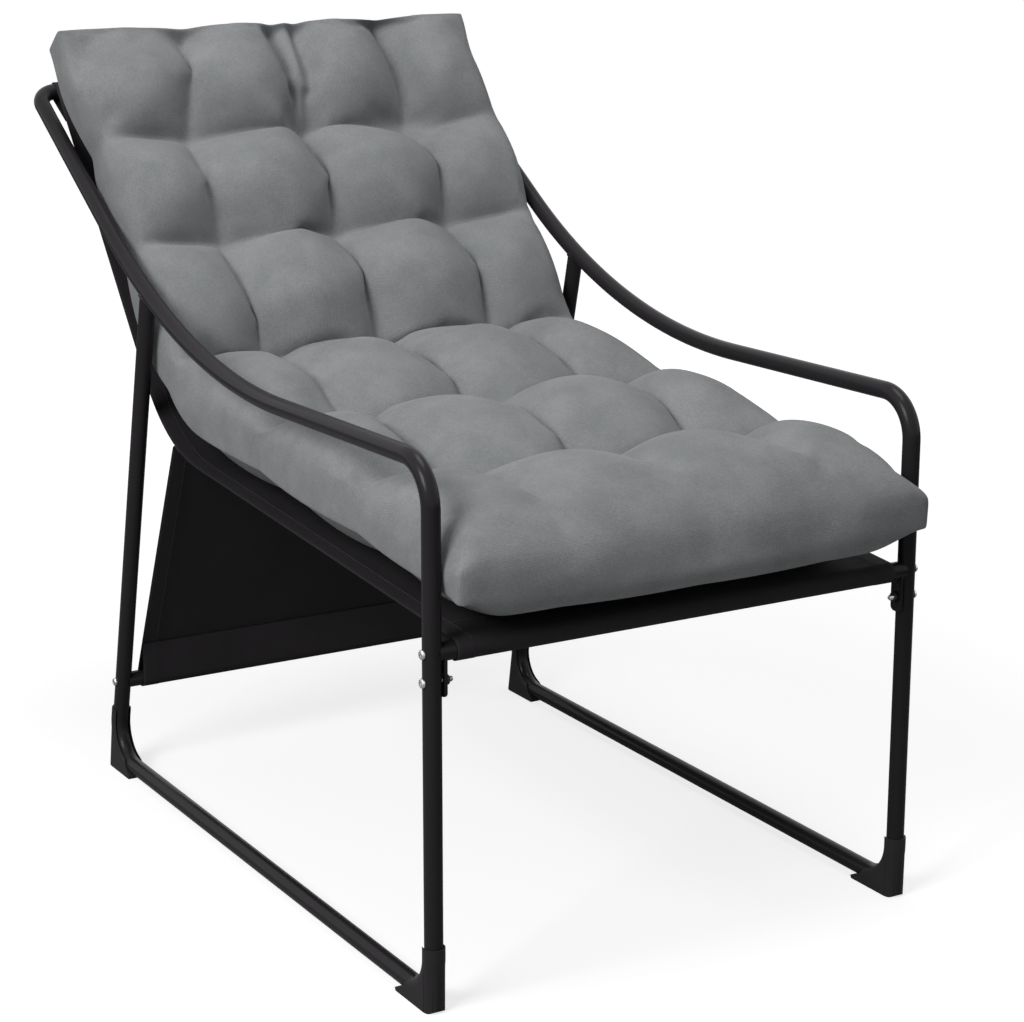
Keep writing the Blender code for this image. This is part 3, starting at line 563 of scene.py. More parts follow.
def bent_rod(name, corners, bends=(), radius=TUBE_RADIUS, sides=TUBE_SIDES):
    """A ring extruded along each straight run and spun round each bend, with open ends."""
    facing = Vector((0, 0, 1)).rotation_difference(corners[1] - corners[0]).to_euler()
    bpy.ops.object.select_all(action="DESELECT")
    bpy.ops.mesh.primitive_circle_add(vertices=sides, radius=radius, location=corners[0], rotation=facing)
    rod = started(name)
    begin_edit(rod, "EDGE")
    here = corners[0]
    for before, corner, after, bend in zip(corners, corners[1:], corners[2:], bends):
        arriving = (corner - before).normalized()
        leaving = (after - corner).normalized()
        turn = arriving.angle(leaving)
        axis = arriving.cross(leaving).normalized()
        reach = bend * math.tan(turn / 2)
        start = corner - arriving * reach
        bpy.ops.mesh.extrude_edges_move(TRANSFORM_OT_translate={"value": start - here})
        centre = start + axis.cross(arriving) * bend
        bpy.ops.mesh.spin(steps=bend_steps(bend, turn), angle=-turn, center=centre, axis=axis)
        here = corner + leaving * reach
    bpy.ops.mesh.extrude_edges_move(TRANSFORM_OT_translate={"value": corners[-1] - here})
    end_edit()
    settle(rod)
    return rod


def walled_rod(name, corners, bends=()):
    """A tube, its wall inside its skin."""
    rod = bent_rod(name, corners, bends)
    apply_modifier(rod, "SOLIDIFY", thickness=TUBE_WALL, offset=-1, use_even_offset=True)
    return rod


def solid_rod(corners, bends=(), radius=TUBE_RADIUS + PAINT_GAP, sides=TUBE_SIDES):
    """A rod with closed ends, as a tool."""
    rod = bent_rod("rod form", corners, bends, radius, sides)
    begin_edit(rod, "EDGE", lambda edge: edge.is_boundary)
    bpy.ops.mesh.fill_holes(sides=0)
    end_edit()
    settle(rod)
    return rod


def cross_pin(x_from, x_to, point):
    """A tool for a bolt's hole across the chair."""
    return solid_rod([place(x_from, *point), place(x_to, *point)], (), BOLT_CREST + PAINT_GAP, PIN_SIDES)


def drawn_outline(name, points):
    """A chain of edges drawn point by point from a plane merged to one point."""
    bpy.ops.object.select_all(action="DESELECT")
    bpy.ops.mesh.primitive_plane_add(size=0.01, location=points[0])
    piece = started(name)
    begin_edit(piece, "VERT")
    bpy.ops.mesh.merge(type="CENTER")
    for near, far in zip(points, points[1:]):
        bpy.ops.mesh.extrude_vertices_move(TRANSFORM_OT_translate={"value": far - near})
    end_edit()
    return piece


def outline_block(name, outline, x_from, x_to):
    """A side outline of (distance, height) points, filled and pushed across the chair."""
    block = drawn_outline(name, [place(x_from, *point) for point in outline])
    begin_edit(block, "VERT")
    bpy.ops.mesh.edge_face_add()
    bpy.ops.mesh.extrude_region_move(TRANSFORM_OT_translate={"value": (x_to - x_from, 0, 0)})
    end_edit()
    settle(block)
    return block


def turned(name, profile):
    """A profile of (x, radius) points drawn beside the X axis and spun once round it."""
    piece = drawn_outline(name, [Vector((x, 0, radius)) for x, radius in profile])
    begin_edit(piece, "EDGE")
    bpy.ops.mesh.spin(steps=TURNED_STEPS, angle=2 * math.pi, center=(0, 0, 0), axis=(1, 0, 0))
    end_edit()
    settle(piece)
    return piece


# Lines of the chair's side view, as (distance, height)

def left_normal(direction):
    return Vector((-direction.y, direction.x))


def tangent_point(point, centre, radius, side):
    """Where a line from the point touches a circle; side 1 keeps the centre on its left."""
    toward = centre - point
    swing = side * math.asin(radius / toward.length)
    direction = Matrix.Rotation(-swing, 2) @ toward.normalized()
    return point + direction * math.sqrt(toward.length ** 2 - radius ** 2), direction


def bent_line(start, corner, end, radius, steps):
    """The straight run, arc and straight run from start to end round a corner."""
    arriving = (corner - start).normalized()
    leaving = (end - corner).normalized()
    turn = arriving.angle_signed(leaving)
    first = corner - arriving * radius * math.tan(abs(turn) / 2)
    centre = first + left_normal(arriving) * radius * (1 if turn < 0 else -1)
    arc = [centre + Matrix.Rotation(-turn * i / steps, 2) @ (first - centre) for i in range(steps + 1)]
    return [start] + arc + [end]


def wrap(centre, radius, start, sweep, steps):
    """Points on a circle from the start point round by the sweep, positive turning left."""
    arm = (start - centre).normalized() * radius
    return [centre + Matrix.Rotation(sweep * i / steps, 2) @ arm for i in range(steps + 1)]


FRONT_TOUCH, SEAT_TO_FRONT = tangent_point(SEAT_CORNER, FRONT_RAIL, SLEEVE_RADIUS, 1)
TOP_TOUCH, BACK_RUN = tangent_point(SEAT_CORNER, TOP_RAIL, SLEEVE_RADIUS, -1)
SEAT_RUN = -SEAT_TO_FRONT
SEAT_TURN = SEAT_RUN.angle(BACK_RUN)

SWEEP_CORNER = Vector((ARM_SWEEP_DISTANCE, ARM_SWEEP_HEIGHT))
SWEEP_RUN = (SWEEP_CORNER - Vector((0, ARM_HEIGHT))).normalized()
SWEEP_TURN = UPRIGHT_RISE + ARM_FALL
SWEEP_CENTRE = (
    SWEEP_CORNER
    - SWEEP_RUN * ARM_SWEEP_RADIUS * math.tan(SWEEP_TURN / 2)
    + left_normal(SWEEP_RUN) * ARM_SWEEP_RADIUS
)


# Frame

def leg_length_to_arm(across, radius):
    """Length up the rear leg at which a line beside its axis comes within a radius of the arm's axis.

    across is the line's distance from the axis, to the side and in the side view.
    """
    low, high = LEG_LENGTH_RANGE
    beside = left_normal(REAR_LEG_RUN) * across[1]
    reach = ARM_SWEEP_RADIUS + math.sqrt(max(0.0, radius ** 2 - across[0] ** 2))
    for _ in range(50):
        middle = (low + high) / 2
        if (REAR_CORNER + REAR_LEG_RUN * middle + beside - SWEEP_CENTRE).length > reach:
            low = middle
        else:
            high = middle
    return low


def arm_tube(side):
    x = side * SIDE_X
    stub_x = side * (SIDE_X - TOP_CORNER_RADIUS - TOP_CORNER_STUB)
    corners = [
        place(x, 0, BASE_HEIGHT + FOOT_BEND_RADIUS + LEG_JOINT_RISE),
        place(x, 0, ARM_HEIGHT),
        place(x, ARM_SWEEP_DISTANCE, ARM_SWEEP_HEIGHT),
        place(x, TOP_RAIL_DISTANCE, TOP_RAIL_HEIGHT),
        place(stub_x, TOP_RAIL_DISTANCE, TOP_RAIL_HEIGHT),
    ]
    return corners, (ARM_FRONT_RADIUS, ARM_SWEEP_RADIUS, TOP_CORNER_RADIUS)


def base_tube(side):
    x = side * SIDE_X
    corners = [
        place(x, 0, BASE_HEIGHT + FOOT_BEND_RADIUS + LEG_JOINT_RISE - PAINT_GAP),
        place(x, 0, BASE_HEIGHT),
        place(x, *REAR_CORNER),
        place(x, *(REAR_CORNER + REAR_LEG_RUN * leg_length_to_arm((0, 0), 0))),
    ]
    return corners, (FOOT_BEND_RADIUS, FOOT_BEND_RADIUS)


def drill(tube, side, point, run):
    """A bolt's hole across a leg, between two rings that keep the long faces round."""
    x = side * SIDE_X
    for reach in (-HOLE_RING, HOLE_RING):
        begin_edit(tube, "VERT")
        bpy.ops.mesh.bisect(plane_co=place(x, *(point + run * reach)), plane_no=(0, *run))
        end_edit()
    cut(tube, cross_pin(x - 2 * TUBE_RADIUS, x + 2 * TUBE_RADIUS, point))


def leg_weld(label, side):
    """A rippled bead round the joint of the rear leg and the arm."""
    curve = bpy.data.curves.new(f"{label}_leg_weld", "CURVE")
    curve.dimensions = "3D"
    curve.bevel_depth = WELD_RADIUS
    curve.bevel_resolution = 3
    line = curve.splines.new("POLY")
    line.points.add(WELD_POINTS - 1)
    line.use_cyclic_u = True
    for i, point in enumerate(line.points):
        angle = 2 * math.pi * i / WELD_POINTS
        across = (TUBE_RADIUS * math.cos(angle), TUBE_RADIUS * math.sin(angle))
        length = leg_length_to_arm(across, TUBE_RADIUS)
        spot = REAR_CORNER + REAR_LEG_RUN * length + left_normal(REAR_LEG_RUN) * across[1]
        point.co = (*place(side * SIDE_X + across[0], *spot), 1)
        point.radius = 1 + WELD_RIPPLE * math.sin(angle * WELD_RIPPLES)
    pick(new_piece(f"{label}_leg_weld", curve))
    bpy.ops.object.convert(target="MESH")
    bead = bpy.context.object
    settle(bead)
    belong(bead, "frame_paint")


def side_frame(label, side):
    arm = walled_rod(f"{label}_arm_and_leg", *arm_tube(side))
    for height in (FRONT_RAIL_HEIGHT, FRONT_RAIL_HEIGHT - TAB_BOLT_DROP):
        drill(arm, side, Vector((0, height)), UPRIGHT)
    belong(arm, "frame_paint", f"{label}_arm_tube")
    base = walled_rod(f"{label}_base_and_rear_leg", *base_tube(side))
    cut(base, solid_rod(*arm_tube(side)))
    drill(base, side, REAR_RAIL, REAR_LEG_RUN)
    belong(base, "frame_paint", f"{label}_base_tube")
    for piece in (arm, base):
        shade(piece)
    leg_weld(label, side)


def cross_rail(name, node, centre, leg_run):
    """A rail between two legs, its ends notched round them."""
    tip = SIDE_X - RAIL_TIP_SETBACK
    rail = walled_rod(name, [place(-tip, *centre), place(tip, *centre)])
    for _, side in SIDES:
        ends = (centre + leg_run * reach for reach in (-NOTCH_REACH, NOTCH_REACH))
        cut(rail, solid_rod([place(side * SIDE_X, *end) for end in ends]))
    shade(rail)
    belong(rail, "frame_paint", node)


def rail_tabs():
    """The plates under the front rail's ends that the lower bolts pull against the legs."""
    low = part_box("left_rail_tab")[0].z
    half, corner = TAB_WIDTH / 2, TAB_WIDTH / 3
    middle = Vector((0, low))
    outline = bent_line(Vector((-half, FRONT_RAIL_HEIGHT)), Vector((-half, low)), middle, corner, 8)
    outline += bent_line(middle, Vector((half, low)), Vector((half, FRONT_RAIL_HEIGHT)), corner, 8)[1:]
    for label, _ in SIDES:
        near, far = (end.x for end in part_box(f"{label}_rail_tab"))
        plate = outline_block(f"{label}_tab_plate", outline, near, far)
        cut(plate, solid_rod([place(-SIDE_X, *FRONT_RAIL), place(SIDE_X, *FRONT_RAIL)]))
        cut(plate, cross_pin(near - TAB_MARGIN, far + TAB_MARGIN, TAB_POINT))
        apply_modifier(plate, "BEVEL", width=TAB_EDGE_ROUND, segments=2, angle_limit=math.radians(50))
        shade(plate)
        belong(plate, "frame_paint", f"{label}_rail_tab")


# Fasteners

def bolt_form(length):
    """A domed socket bolt along X, its head's seat at the origin and its shank to +X."""
    flat = BOLT_HEAD_RADIUS - BOLT_DOME
    profile = [(-BOLT_HEAD_HEIGHT, 0)]
    for i in range(DOME_STEPS + 1):
        angle = math.pi / 2 * i / DOME_STEPS
        x = -BOLT_HEAD_HEIGHT + BOLT_DOME * (1 - math.cos(angle))
        profile.append((x, flat + BOLT_DOME * math.sin(angle)))
    profile += [(-BOLT_EDGE, BOLT_HEAD_RADIUS), (0, BOLT_HEAD_RADIUS - BOLT_EDGE), (0, BOLT_CREST)]
    for i in range(round(THREAD_LENGTH / BOLT_PITCH) - 1):
        start = length - THREAD_LENGTH + i * BOLT_PITCH
        profile += [(start, BOLT_CREST), (start + BOLT_PITCH * CREST_SHARE, BOLT_CREST)]
        profile.append((start + BOLT_PITCH * ROOT_SHARE, BOLT_ROOT))
    profile += [(length - BOLT_PITCH, BOLT_CREST), (length, BOLT_ROOT - BOLT_TIP), (length, 0)]
    bolt = turned("bolt form", profile)
    cut(bolt, hexagon(SOCKET_RADIUS, 2 * SOCKET_DEPTH, -BOLT_HEAD_HEIGHT))
    shade(bolt)
    return bolt


def hexagon(radius, depth, x):
    """A six-sided block along the X axis, its middle at x."""
    bpy.ops.mesh.primitive_cylinder_add(vertices=6, radius=radius, depth=depth,
                                        location=(x, 0, 0), rotation=(0, math.pi / 2, 0))
    return bpy.context.object


def nut_form():
    """A chamfered hexagon nut along X, from the origin to +X."""
    hexagon(NUT_RADIUS, NUT_HEIGHT, NUT_HEIGHT / 2)
    nut = started("nut form")
    low, high = NUT_RADIUS * NUT_FACE_SHARE, NUT_RADIUS * NUT_BARREL_SHARE
    barrel = [(0, 0), (0, low), (NUT_CHAMFER, high), (NUT_HEIGHT - NUT_CHAMFER, high), (NUT_HEIGHT, low)]
    cut(nut, turned("barrel", barrel + [(NUT_HEIGHT, 0)]), "INTERSECT")
    start, end, radius = -NUT_MARGIN, NUT_HEIGHT + NUT_MARGIN, BOLT_CREST + PAINT_GAP
    cut(nut, turned("hole", [(start, 0), (start, radius), (end, radius), (end, 0)]))
    shade(nut)
    return nut


def inward(x, side, point):
    """The matrix that puts a form along X at a point, pointing in from its side of the chair."""
    turn = Matrix.Identity(4) if side < 0 else Matrix.Rotation(math.pi, 4, "Z")
    return Matrix.Translation(place(side * x, *point)) @ turn


def fasteners():
    tab_bolt, rail_bolt, nut = bolt_form(TAB_BOLT_LENGTH), bolt_form(RAIL_BOLT_LENGTH), nut_form()
    seat = SIDE_X + TUBE_RADIUS + SEAT_GAP
    screws = (("front_rail", rail_bolt, FRONT_RAIL), ("tab", tab_bolt, TAB_POINT),
              ("rear_rail", rail_bolt, REAR_RAIL))
    for label, side in SIDES:
        for where, form, point in screws:
            screw = copied(form, f"{label}_{where}_screw", inward(seat, side, point))
            belong(screw, "zinc", f"{label}_{where}_bolt")
        face = min(abs(end.x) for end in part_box(f"{label}_rail_tab")) - SEAT_GAP
        hex_nut = copied(nut, f"{label}_hex_nut", inward(face, side, TAB_POINT))
        belong(hex_nut, "black_oxide", f"{label}_tab_nut")
    for form in (tab_bolt, rail_bolt, nut):
        bpy.data.objects.remove(form)


# Corner feet

def crossing(point_a, run_a, point_b, run_b):
    """Where two lines meet."""
    gap = point_b - point_a
    turn = run_a.x * run_b.y - run_a.y * run_b.x
    return point_a + run_a * (gap.x * run_b.y - gap.y * run_b.x) / turn


def bend_reach(leg_run, inward_sign):
    return FOOT_BEND_RADIUS * math.tan(Vector((inward_sign, 0)).angle(-leg_run) / 2)


def toe_point(corner, leg_run, inward_sign, inset):
    """Where the foot's outer wall meets the floor."""
    base_run = Vector((inward_sign, 0))
    leg_outer = corner + left_normal(leg_run) * inward_sign * (TUBE_RADIUS + FOOT_CHEEK)
    return crossing(leg_outer, leg_run, Vector((corner.x, 0)), base_run) + base_run * inset


def foot_outline(corner, leg_run, inward_sign, inset):
    """Side view of a corner foot: sole, toe, collar and the hollow that follows the bend."""
    half = TUBE_RADIUS + FOOT_CHEEK + FOOT_TRIM
    base_run = Vector((inward_sign, 0))
    outside = left_normal(leg_run) * inward_sign
    reach = bend_reach(leg_run, inward_sign)
    collar_outer = corner + outside * half + leg_run * (reach + FOOT_COLLAR_RISE)
    collar_inner = collar_outer - outside * 2 * half
    toe = toe_point(corner, leg_run, inward_sign, inset) - base_run * FOOT_TRIM
    cheek_length = reach - FOOT_CHEEK_SETBACK
    sole_end = Vector((corner.x, 0)) + base_run * SOLE_LENGTH
    sole_lip = sole_end + Vector((inward_sign * FOOT_SOLE_BEVEL, FOOT_SOLE_END))
    cheek_low = Vector((corner.x + inward_sign * (cheek_length + SOLE_LENGTH) / 2, FOOT_CHEEK_TURN))
    bend_end = Vector((corner.x + inward_sign * reach, BASE_HEIGHT + half))
    inner_corner = crossing(collar_inner, leg_run, bend_end, base_run)
    hollow = bent_line(bend_end, inner_corner, collar_inner, FOOT_BEND_RADIUS - half, 24)
    hollow = [point for point in hollow if (point.x - corner.x) * inward_sign < cheek_length]
    toe_arc = bent_line(collar_outer, toe, sole_end, FOOT_TOE_RADIUS, 10)
    cheek_arc = bent_line(sole_lip, cheek_low, hollow[0], FOOT_CHEEK_RADIUS, 6)
    return toe_arc + cheek_arc[:-1] + hollow


def foot_axis(corner, leg_run, inward_sign):
    """The tube's axis in the side view, from above the collar to past the sole's end."""
    top = corner + leg_run * (FOOT_BEND_RADIUS + 4 * TUBE_RADIUS)
    end = corner + Vector((inward_sign, 0)) * (SOLE_LENGTH + 4 * TUBE_RADIUS)
    return top, corner, end


def middle_rod(points, radius, bends=()):
    """A tool along a line in the chair's middle plane."""
    return solid_rod([place(0, *point) for point in points], bends, radius)


def foot_hull(corner, leg_run, inward_sign, inset):
    """A round skin along the tube, a round nose down to the floor and the mass between them."""
    half = TUBE_RADIUS + FOOT_CHEEK
    axis = foot_axis(corner, leg_run, inward_sign)
    end = axis[-1]
    hull = middle_rod(axis, half, (FOOT_BEND_RADIUS,))
    toe = toe_point(corner, leg_run, inward_sign, inset) + Vector((inward_sign * half, 0))
    collar = corner + leg_run * (bend_reach(leg_run, inward_sign) + FOOT_COLLAR_RISE)
    low = toe + (toe - collar).normalized() * TUBE_RADIUS
    cut(hull, middle_rod((collar, low), half - FOOT_CLEARANCE), "UNION")
    mass = bent_line(collar, corner, end, FOOT_BEND_RADIUS, 14)[3:] + [Vector((end.x, low.y)), low]
    cut(hull, outline_block("foot mass", mass, -half - FOOT_TRIM, half + FOOT_TRIM), "UNION")
    return hull


def foot_form(name, corner, leg_run, inward_sign, inset):
    """A foot in the chair's middle plane, cut to its tube and open on the inner side of the bend."""
    half = TUBE_RADIUS + FOOT_CHEEK
    foot = outline_block(name, foot_outline(corner, leg_run, inward_sign, inset), -half, half)
    cut(foot, foot_hull(corner, leg_run, inward_sign, inset), "INTERSECT")
    settle(foot)
    apply_modifier(foot, "BEVEL", width=FOOT_EDGE_ROUND, segments=3, angle_limit=math.radians(60))
    axis = foot_axis(corner, leg_run, inward_sign)
    cut(foot, middle_rod(axis, TUBE_RADIUS + FOOT_CLEARANCE, (FOOT_BEND_RADIUS,)))
    inside = -left_normal(leg_run) * inward_sign
    channel = bent_line(*axis, FOOT_BEND_RADIUS, 14)
    channel += [axis[-1] + Vector((0, 4 * TUBE_RADIUS)), axis[0] + inside * SOLE_LENGTH]
    cut(foot, outline_block("channel", channel, -TUBE_RADIUS, TUBE_RADIUS))
    shade(foot)
    return foot


def corner_feet():
    corners = (
        ("front", Vector((0, BASE_HEIGHT)), UPRIGHT, 1, FRONT_TOE_INSET),
        ("rear", REAR_CORNER, REAR_LEG_RUN, -1, REAR_TOE_INSET),
    )
    for end, *where in corners:
        form = foot_form(f"{end} foot form", *where)
        for label, side in SIDES:
            foot = copied(form, f"{end}_{label}_shoe", Matrix.Translation((side * SIDE_X, 0, 0)))
            belong(foot, "foot_plastic", f"{end}_{label}_foot")
        bpy.data.objects.remove(form)


# Sling

def pocket(centre, touch, run, side, depth):
    """Cloth that leaves the panel at touch, goes round a rail and comes back under the panel."""
    sheet_side = left_normal(run) * side
    seam = centre + run * depth + sheet_side * (SLEEVE_RADIUS - POCKET_LAYER)
    back_touch, _ = tangent_point(seam, centre, SLEEVE_RADIUS, -side)
    start_angle = math.atan2((touch - centre).y, (touch - centre).x)
    end_angle = math.atan2((back_touch - centre).y, (back_touch - centre).x)
    sweep = (end_angle - start_angle) * side % (2 * math.pi) * side
    return wrap(centre, SLEEVE_RADIUS, touch, sweep, 32)[1:] + [seam]


def sling_line():
    """Section of the seat and back panel, from the front pocket's seam to the top pocket's."""
    front = pocket(FRONT_RAIL, FRONT_TOUCH, SEAT_RUN, 1, FRONT_POCKET)
    top = pocket(TOP_RAIL, TOP_TOUCH, -BACK_RUN, -1, TOP_POCKET)
    panel = bent_line(FRONT_TOUCH, SEAT_CORNER, TOP_TOUCH, SEAT_CORNER_RADIUS, 24)
    return list(reversed(front)) + panel + top


def tail_line():
    """Section of the tail, from its flap under the sling's bend down and round the rear rail."""
    bend_start = SEAT_CORNER - SEAT_RUN * SEAT_CORNER_RADIUS * math.tan(SEAT_TURN / 2)
    centre = bend_start + left_normal(SEAT_RUN) * SEAT_CORNER_RADIUS
    radius = SEAT_CORNER_RADIUS + TAIL_DROP
    sweep = TAIL_FLAP / radius
    seam = centre + Matrix.Rotation(SEAT_TURN * TAIL_FOLD_SHARE - sweep, 2) @ (bend_start - centre)
    start, before_fold, fold = wrap(centre, radius, seam, sweep, 2)
    touch, run = tangent_point(fold, REAR_RAIL, SLEEVE_RADIUS, -1)
    wrapped = pocket(REAR_RAIL, touch, -run, -1, REAR_POCKET)
    return [start] + bent_line(before_fold, fold, touch, TAIL_FOLD_RADIUS, 6) + wrapped


def resampled(line, step):
    """The line with points no further apart than a step."""
    points = [line[0]]
    for near, far in zip(line, line[1:]):
        pieces = max(1, math.ceil((far - near).length / step))
        points += [near.lerp(far, i / pieces) for i in range(1, pieces + 1)]
    return points


def line_frames(line):
    """At each point of a line, its left normal and its distance from the start."""
    runs = [(far - near).normalized() for near, far in zip(line, line[1:])]
    frames, length = [], 0.0
    for i, point in enumerate(line):
        before, after = runs[max(i - 1, 0)], runs[min(i, len(runs) - 1)]
        middle = (left_normal(before) + left_normal(after)).normalized()
        length += (point - line[i - 1]).length if i else 0
        frames.append((point, middle, length))
    return frames


def ring_faces(rings):
    """The faces of a closed form along its rings of points."""
    faces = [rings[0], rings[-1][::-1]]
    count = len(rings[0])
    for near, far in zip(rings, rings[1:]):
        for i in range(count):
            j = (i + 1) % count
            faces.append([near[i], far[i], far[j], near[j]])
    return faces


def cloth_piece(name, verts, faces, places=None):
    """A piece of these faces, with a cloth map in metres where each face's corners have their places."""
    mesh = bpy.data.meshes.new(name)
    mesh.from_pydata(verts, [], faces)
    if places:
        for corner, spot in zip(mesh.uv_layers.new(name="cloth").data, places):
            corner.uv = spot
        mesh.validate()
    piece = new_piece(name, mesh)
    bm = bmesh.new()
    bm.from_mesh(mesh)
    bmesh.ops.recalc_face_normals(bm, faces=bm.faces)
    bm.to_mesh(mesh)
    bm.free()
    mesh.shade_smooth()
    mesh.set_sharp_from_angle(angle=CLOTH_SHARP_ANGLE)
    return piece


def hemmed_sheet(name, line, slack):
    """Cloth along a section line, its side edges folded once and closed all round.

    slack gives how far a place sags along its normal, from its distance across and along.
    """
    half = SLING_WIDTH / 2
    inner = half - HEM
    across = [share * (inner - HEM_STEP) for share in (0.0, 0.25, 0.5, 0.75, 0.93, 1.0)] + [inner]
    across += [inner + (half - inner) * share for share in (0.25, 0.5, 0.8, 0.97)] + [half]
    across = [-x for x in reversed(across[1:])] + across
    verts, flat, rings = [], [], []
    for point, normal, length in line_frames(resampled(line, SHEET_STEP)):
        ring = []
        for face in (1, -1):
            for x in across if face > 0 else reversed(across):
                hem = min(max((abs(x) - inner + HEM_STEP) / HEM_STEP, 0), 1)
                rolled = math.sqrt(max(0.0, 1 - max(0.0, (abs(x) - half + HEM_ROLL) / HEM_ROLL) ** 2))
                height = face * CLOTH * (1 + HEM_RISE * hem) * max(rolled, HEM_THIN) + slack(x, length)
                ring.append(len(verts))
                verts.append(place(x, *(point + normal * height)))
                flat.append((x, length))
        rings.append(ring)
    faces = ring_faces(rings)
    return cloth_piece(name, verts, faces, [flat[vert] for face in faces for vert in face])


def stitches(name, rows):
    """Thread dashes along rows of (point, normal) pairs, each half sunk in the cloth."""
    verts, faces = [], []
    for row in rows:
        reach = 0.0
        marks = []
        for (near, normal), (far, _) in zip(row, row[1:]):
            length = (far - near).length
            while reach < length:
                marks.append((near.lerp(far, reach / length), (far - near).normalized(), normal))
                reach += STITCH_PITCH
            reach -= length
        for centre, run, normal in marks:
            aside = run.cross(normal).normalized()
            rings = []
            for along, size in STITCH_RINGS:
                middle = centre + run * along * STITCH_LENGTH - normal * STITCH_RADIUS * (0.9 - size) * 1.2
                ring = []
                for i in range(6):
                    angle = math.pi * i / 3
                    spoke = aside * math.cos(angle) + normal * math.sin(angle)
                    ring.append(len(verts))
                    verts.append(middle + spoke * STITCH_RADIUS * size)
                rings.append(ring)
            faces += ring_faces(rings)
    piece = cloth_piece(name, verts, faces)
    piece.data.materials.append(THREAD)
    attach(piece, "chair_frame")
    return piece


def seam_rows(line, lengths, hem_from, hem_to, slack):
    """Rows of stitches across a sheet at given lengths, and along both hems between two lengths."""
    stations = line_frames(resampled(line, SEAM_STEP))
    hemmed = [station for station in stations if hem_from <= station[2] <= hem_to]
    hem = SLING_WIDTH / 2 - HEM + HEM_SEAM_INSET

    def mark(x, face, layers, station):
        """Place and normal of the thread on one face of the sheet."""
        point, normal, length = station
        spot = point + normal * (face * CLOTH * layers + slack(x, length))
        return place(x, *spot), Vector((0, *(normal * face)))

    rows = []
    for face in (1, -1):
        for wanted in lengths:
            station = min(stations, key=lambda item: abs(item[2] - wanted))
            across = [(i / 20 - 1) * (SLING_WIDTH / 2 - SEAM_MARGIN) for i in range(41)]
            rows.append([mark(x, face, 1.2, station) for x in across])
        for x in (-hem, hem):
            rows.append([mark(x, face, 1.45, station) for station in hemmed])
    return rows


def line_length(line):
    return sum((far - near).length for near, far in zip(line, line[1:]))


def sling():
    line = sling_line()
    total = line_length(line)

    def slack(x, length):
        """The panel hangs a little between its rails, most in the middle."""
        free = math.sin(math.pi * min(max((length - SAG_START) / (total - 2 * SAG_START), 0), 1))
        return -SLING_SAG * free * (1 - (2 * x / SLING_WIDTH) ** 2)

    panel = hemmed_sheet("seat_and_back_sling", line, slack)
    belong(panel, "sling_cloth", "sling_panel")
    wrap_length = line_length(pocket(FRONT_RAIL, FRONT_TOUCH, SEAT_RUN, 1, FRONT_POCKET))
    ends = (wrap_length + FRONT_POCKET - SEAM_INSET, total - wrap_length - TOP_POCKET + SEAM_INSET)
    thread = stitches("sling_stitches", seam_rows(line, ends, wrap_length, total - wrap_length, slack))


def tail():
    line = tail_line()
    total = line_length(line)
    touch = REAR_RAIL + Vector((-SLEEVE_RADIUS, 0))
    wrap_length = line_length(pocket(REAR_RAIL, touch, UPRIGHT, -1, REAR_POCKET))

    def slack(x, length):
        """Faint waves that run down from the fold and die out at the rail."""
        free = total - wrap_length - 2 * WAVE_START
        free = math.sin(math.pi * min(max((length - WAVE_START) / free, 0), 1))
        wave = math.sin(17 * x + 0.6) + 0.6 * math.sin(41 * x + 2.0 + 9 * length)
        return TAIL_WAVE * free * wave

    panel = hemmed_sheet("tail_sheet", line, slack)
    belong(panel, "sling_cloth", "tail_panel")
    seam = total - wrap_length - REAR_POCKET + SEAM_INSET
    thread = stitches("tail_stitches", seam_rows(line, (seam,), TAIL_FLAP + 0.01, seam, slack))


# Pad

PAD_HALF = PAD_WIDTH / 2
PAD_CORNER = SEAT_CORNER + PAD_MIDDLE * (left_normal(SEAT_RUN) - SEAT_RUN * math.tan(SEAT_TURN / 2))
PAD_NOSE = PAD_CORNER - SEAT_RUN * (PAD_CORNER.x + PAD_OVERHANG) / SEAT_RUN.x
PAD_BEND_REACH = PAD_CORNER_RADIUS * math.tan(SEAT_TURN / 2)
PAD_SEAT_LENGTH = (PAD_CORNER - PAD_NOSE).length - PAD_BEND_REACH
PAD_ARC_LENGTH = PAD_CORNER_RADIUS * SEAT_TURN
PAD_BACK_LENGTH = (TOP_TOUCH - PAD_CORNER).dot(BACK_RUN) + PAD_ABOVE_RAIL - PAD_BEND_REACH
PAD_LENGTH = PAD_SEAT_LENGTH + PAD_ARC_LENGTH + PAD_BACK_LENGTH
PAD_ROWS = PAD_LOWER_ROWS + (PAD_LENGTH - sum(PAD_LOWER_ROWS),)
PAD_COLUMNS = (PAD_HALF - TUFT_SPACING, TUFT_SPACING, TUFT_SPACING, PAD_HALF - TUFT_SPACING)
TUFT_LENGTHS = [sum(PAD_ROWS[:i]) for i in range(1, len(PAD_ROWS))]
TUFT_OFFSETS = [sum(PAD_COLUMNS[:i]) for i in range(1, len(PAD_COLUMNS))]


def pad_station(length):
    """Point and run of the pad's middle surface at a length from its front corners."""
    if length <= PAD_SEAT_LENGTH:
        return PAD_NOSE + SEAT_RUN * length, SEAT_RUN
    arc_start = PAD_NOSE + SEAT_RUN * PAD_SEAT_LENGTH
    past_seat = length - PAD_SEAT_LENGTH
    if past_seat <= PAD_ARC_LENGTH:
        centre = arc_start + left_normal(SEAT_RUN) * PAD_CORNER_RADIUS
        rotation = Matrix.Rotation(past_seat / PAD_CORNER_RADIUS, 2)
        return centre + rotation @ (arc_start - centre), rotation @ SEAT_RUN
    return PAD_CORNER + BACK_RUN * (PAD_BEND_REACH + past_seat - PAD_ARC_LENGTH), BACK_RUN


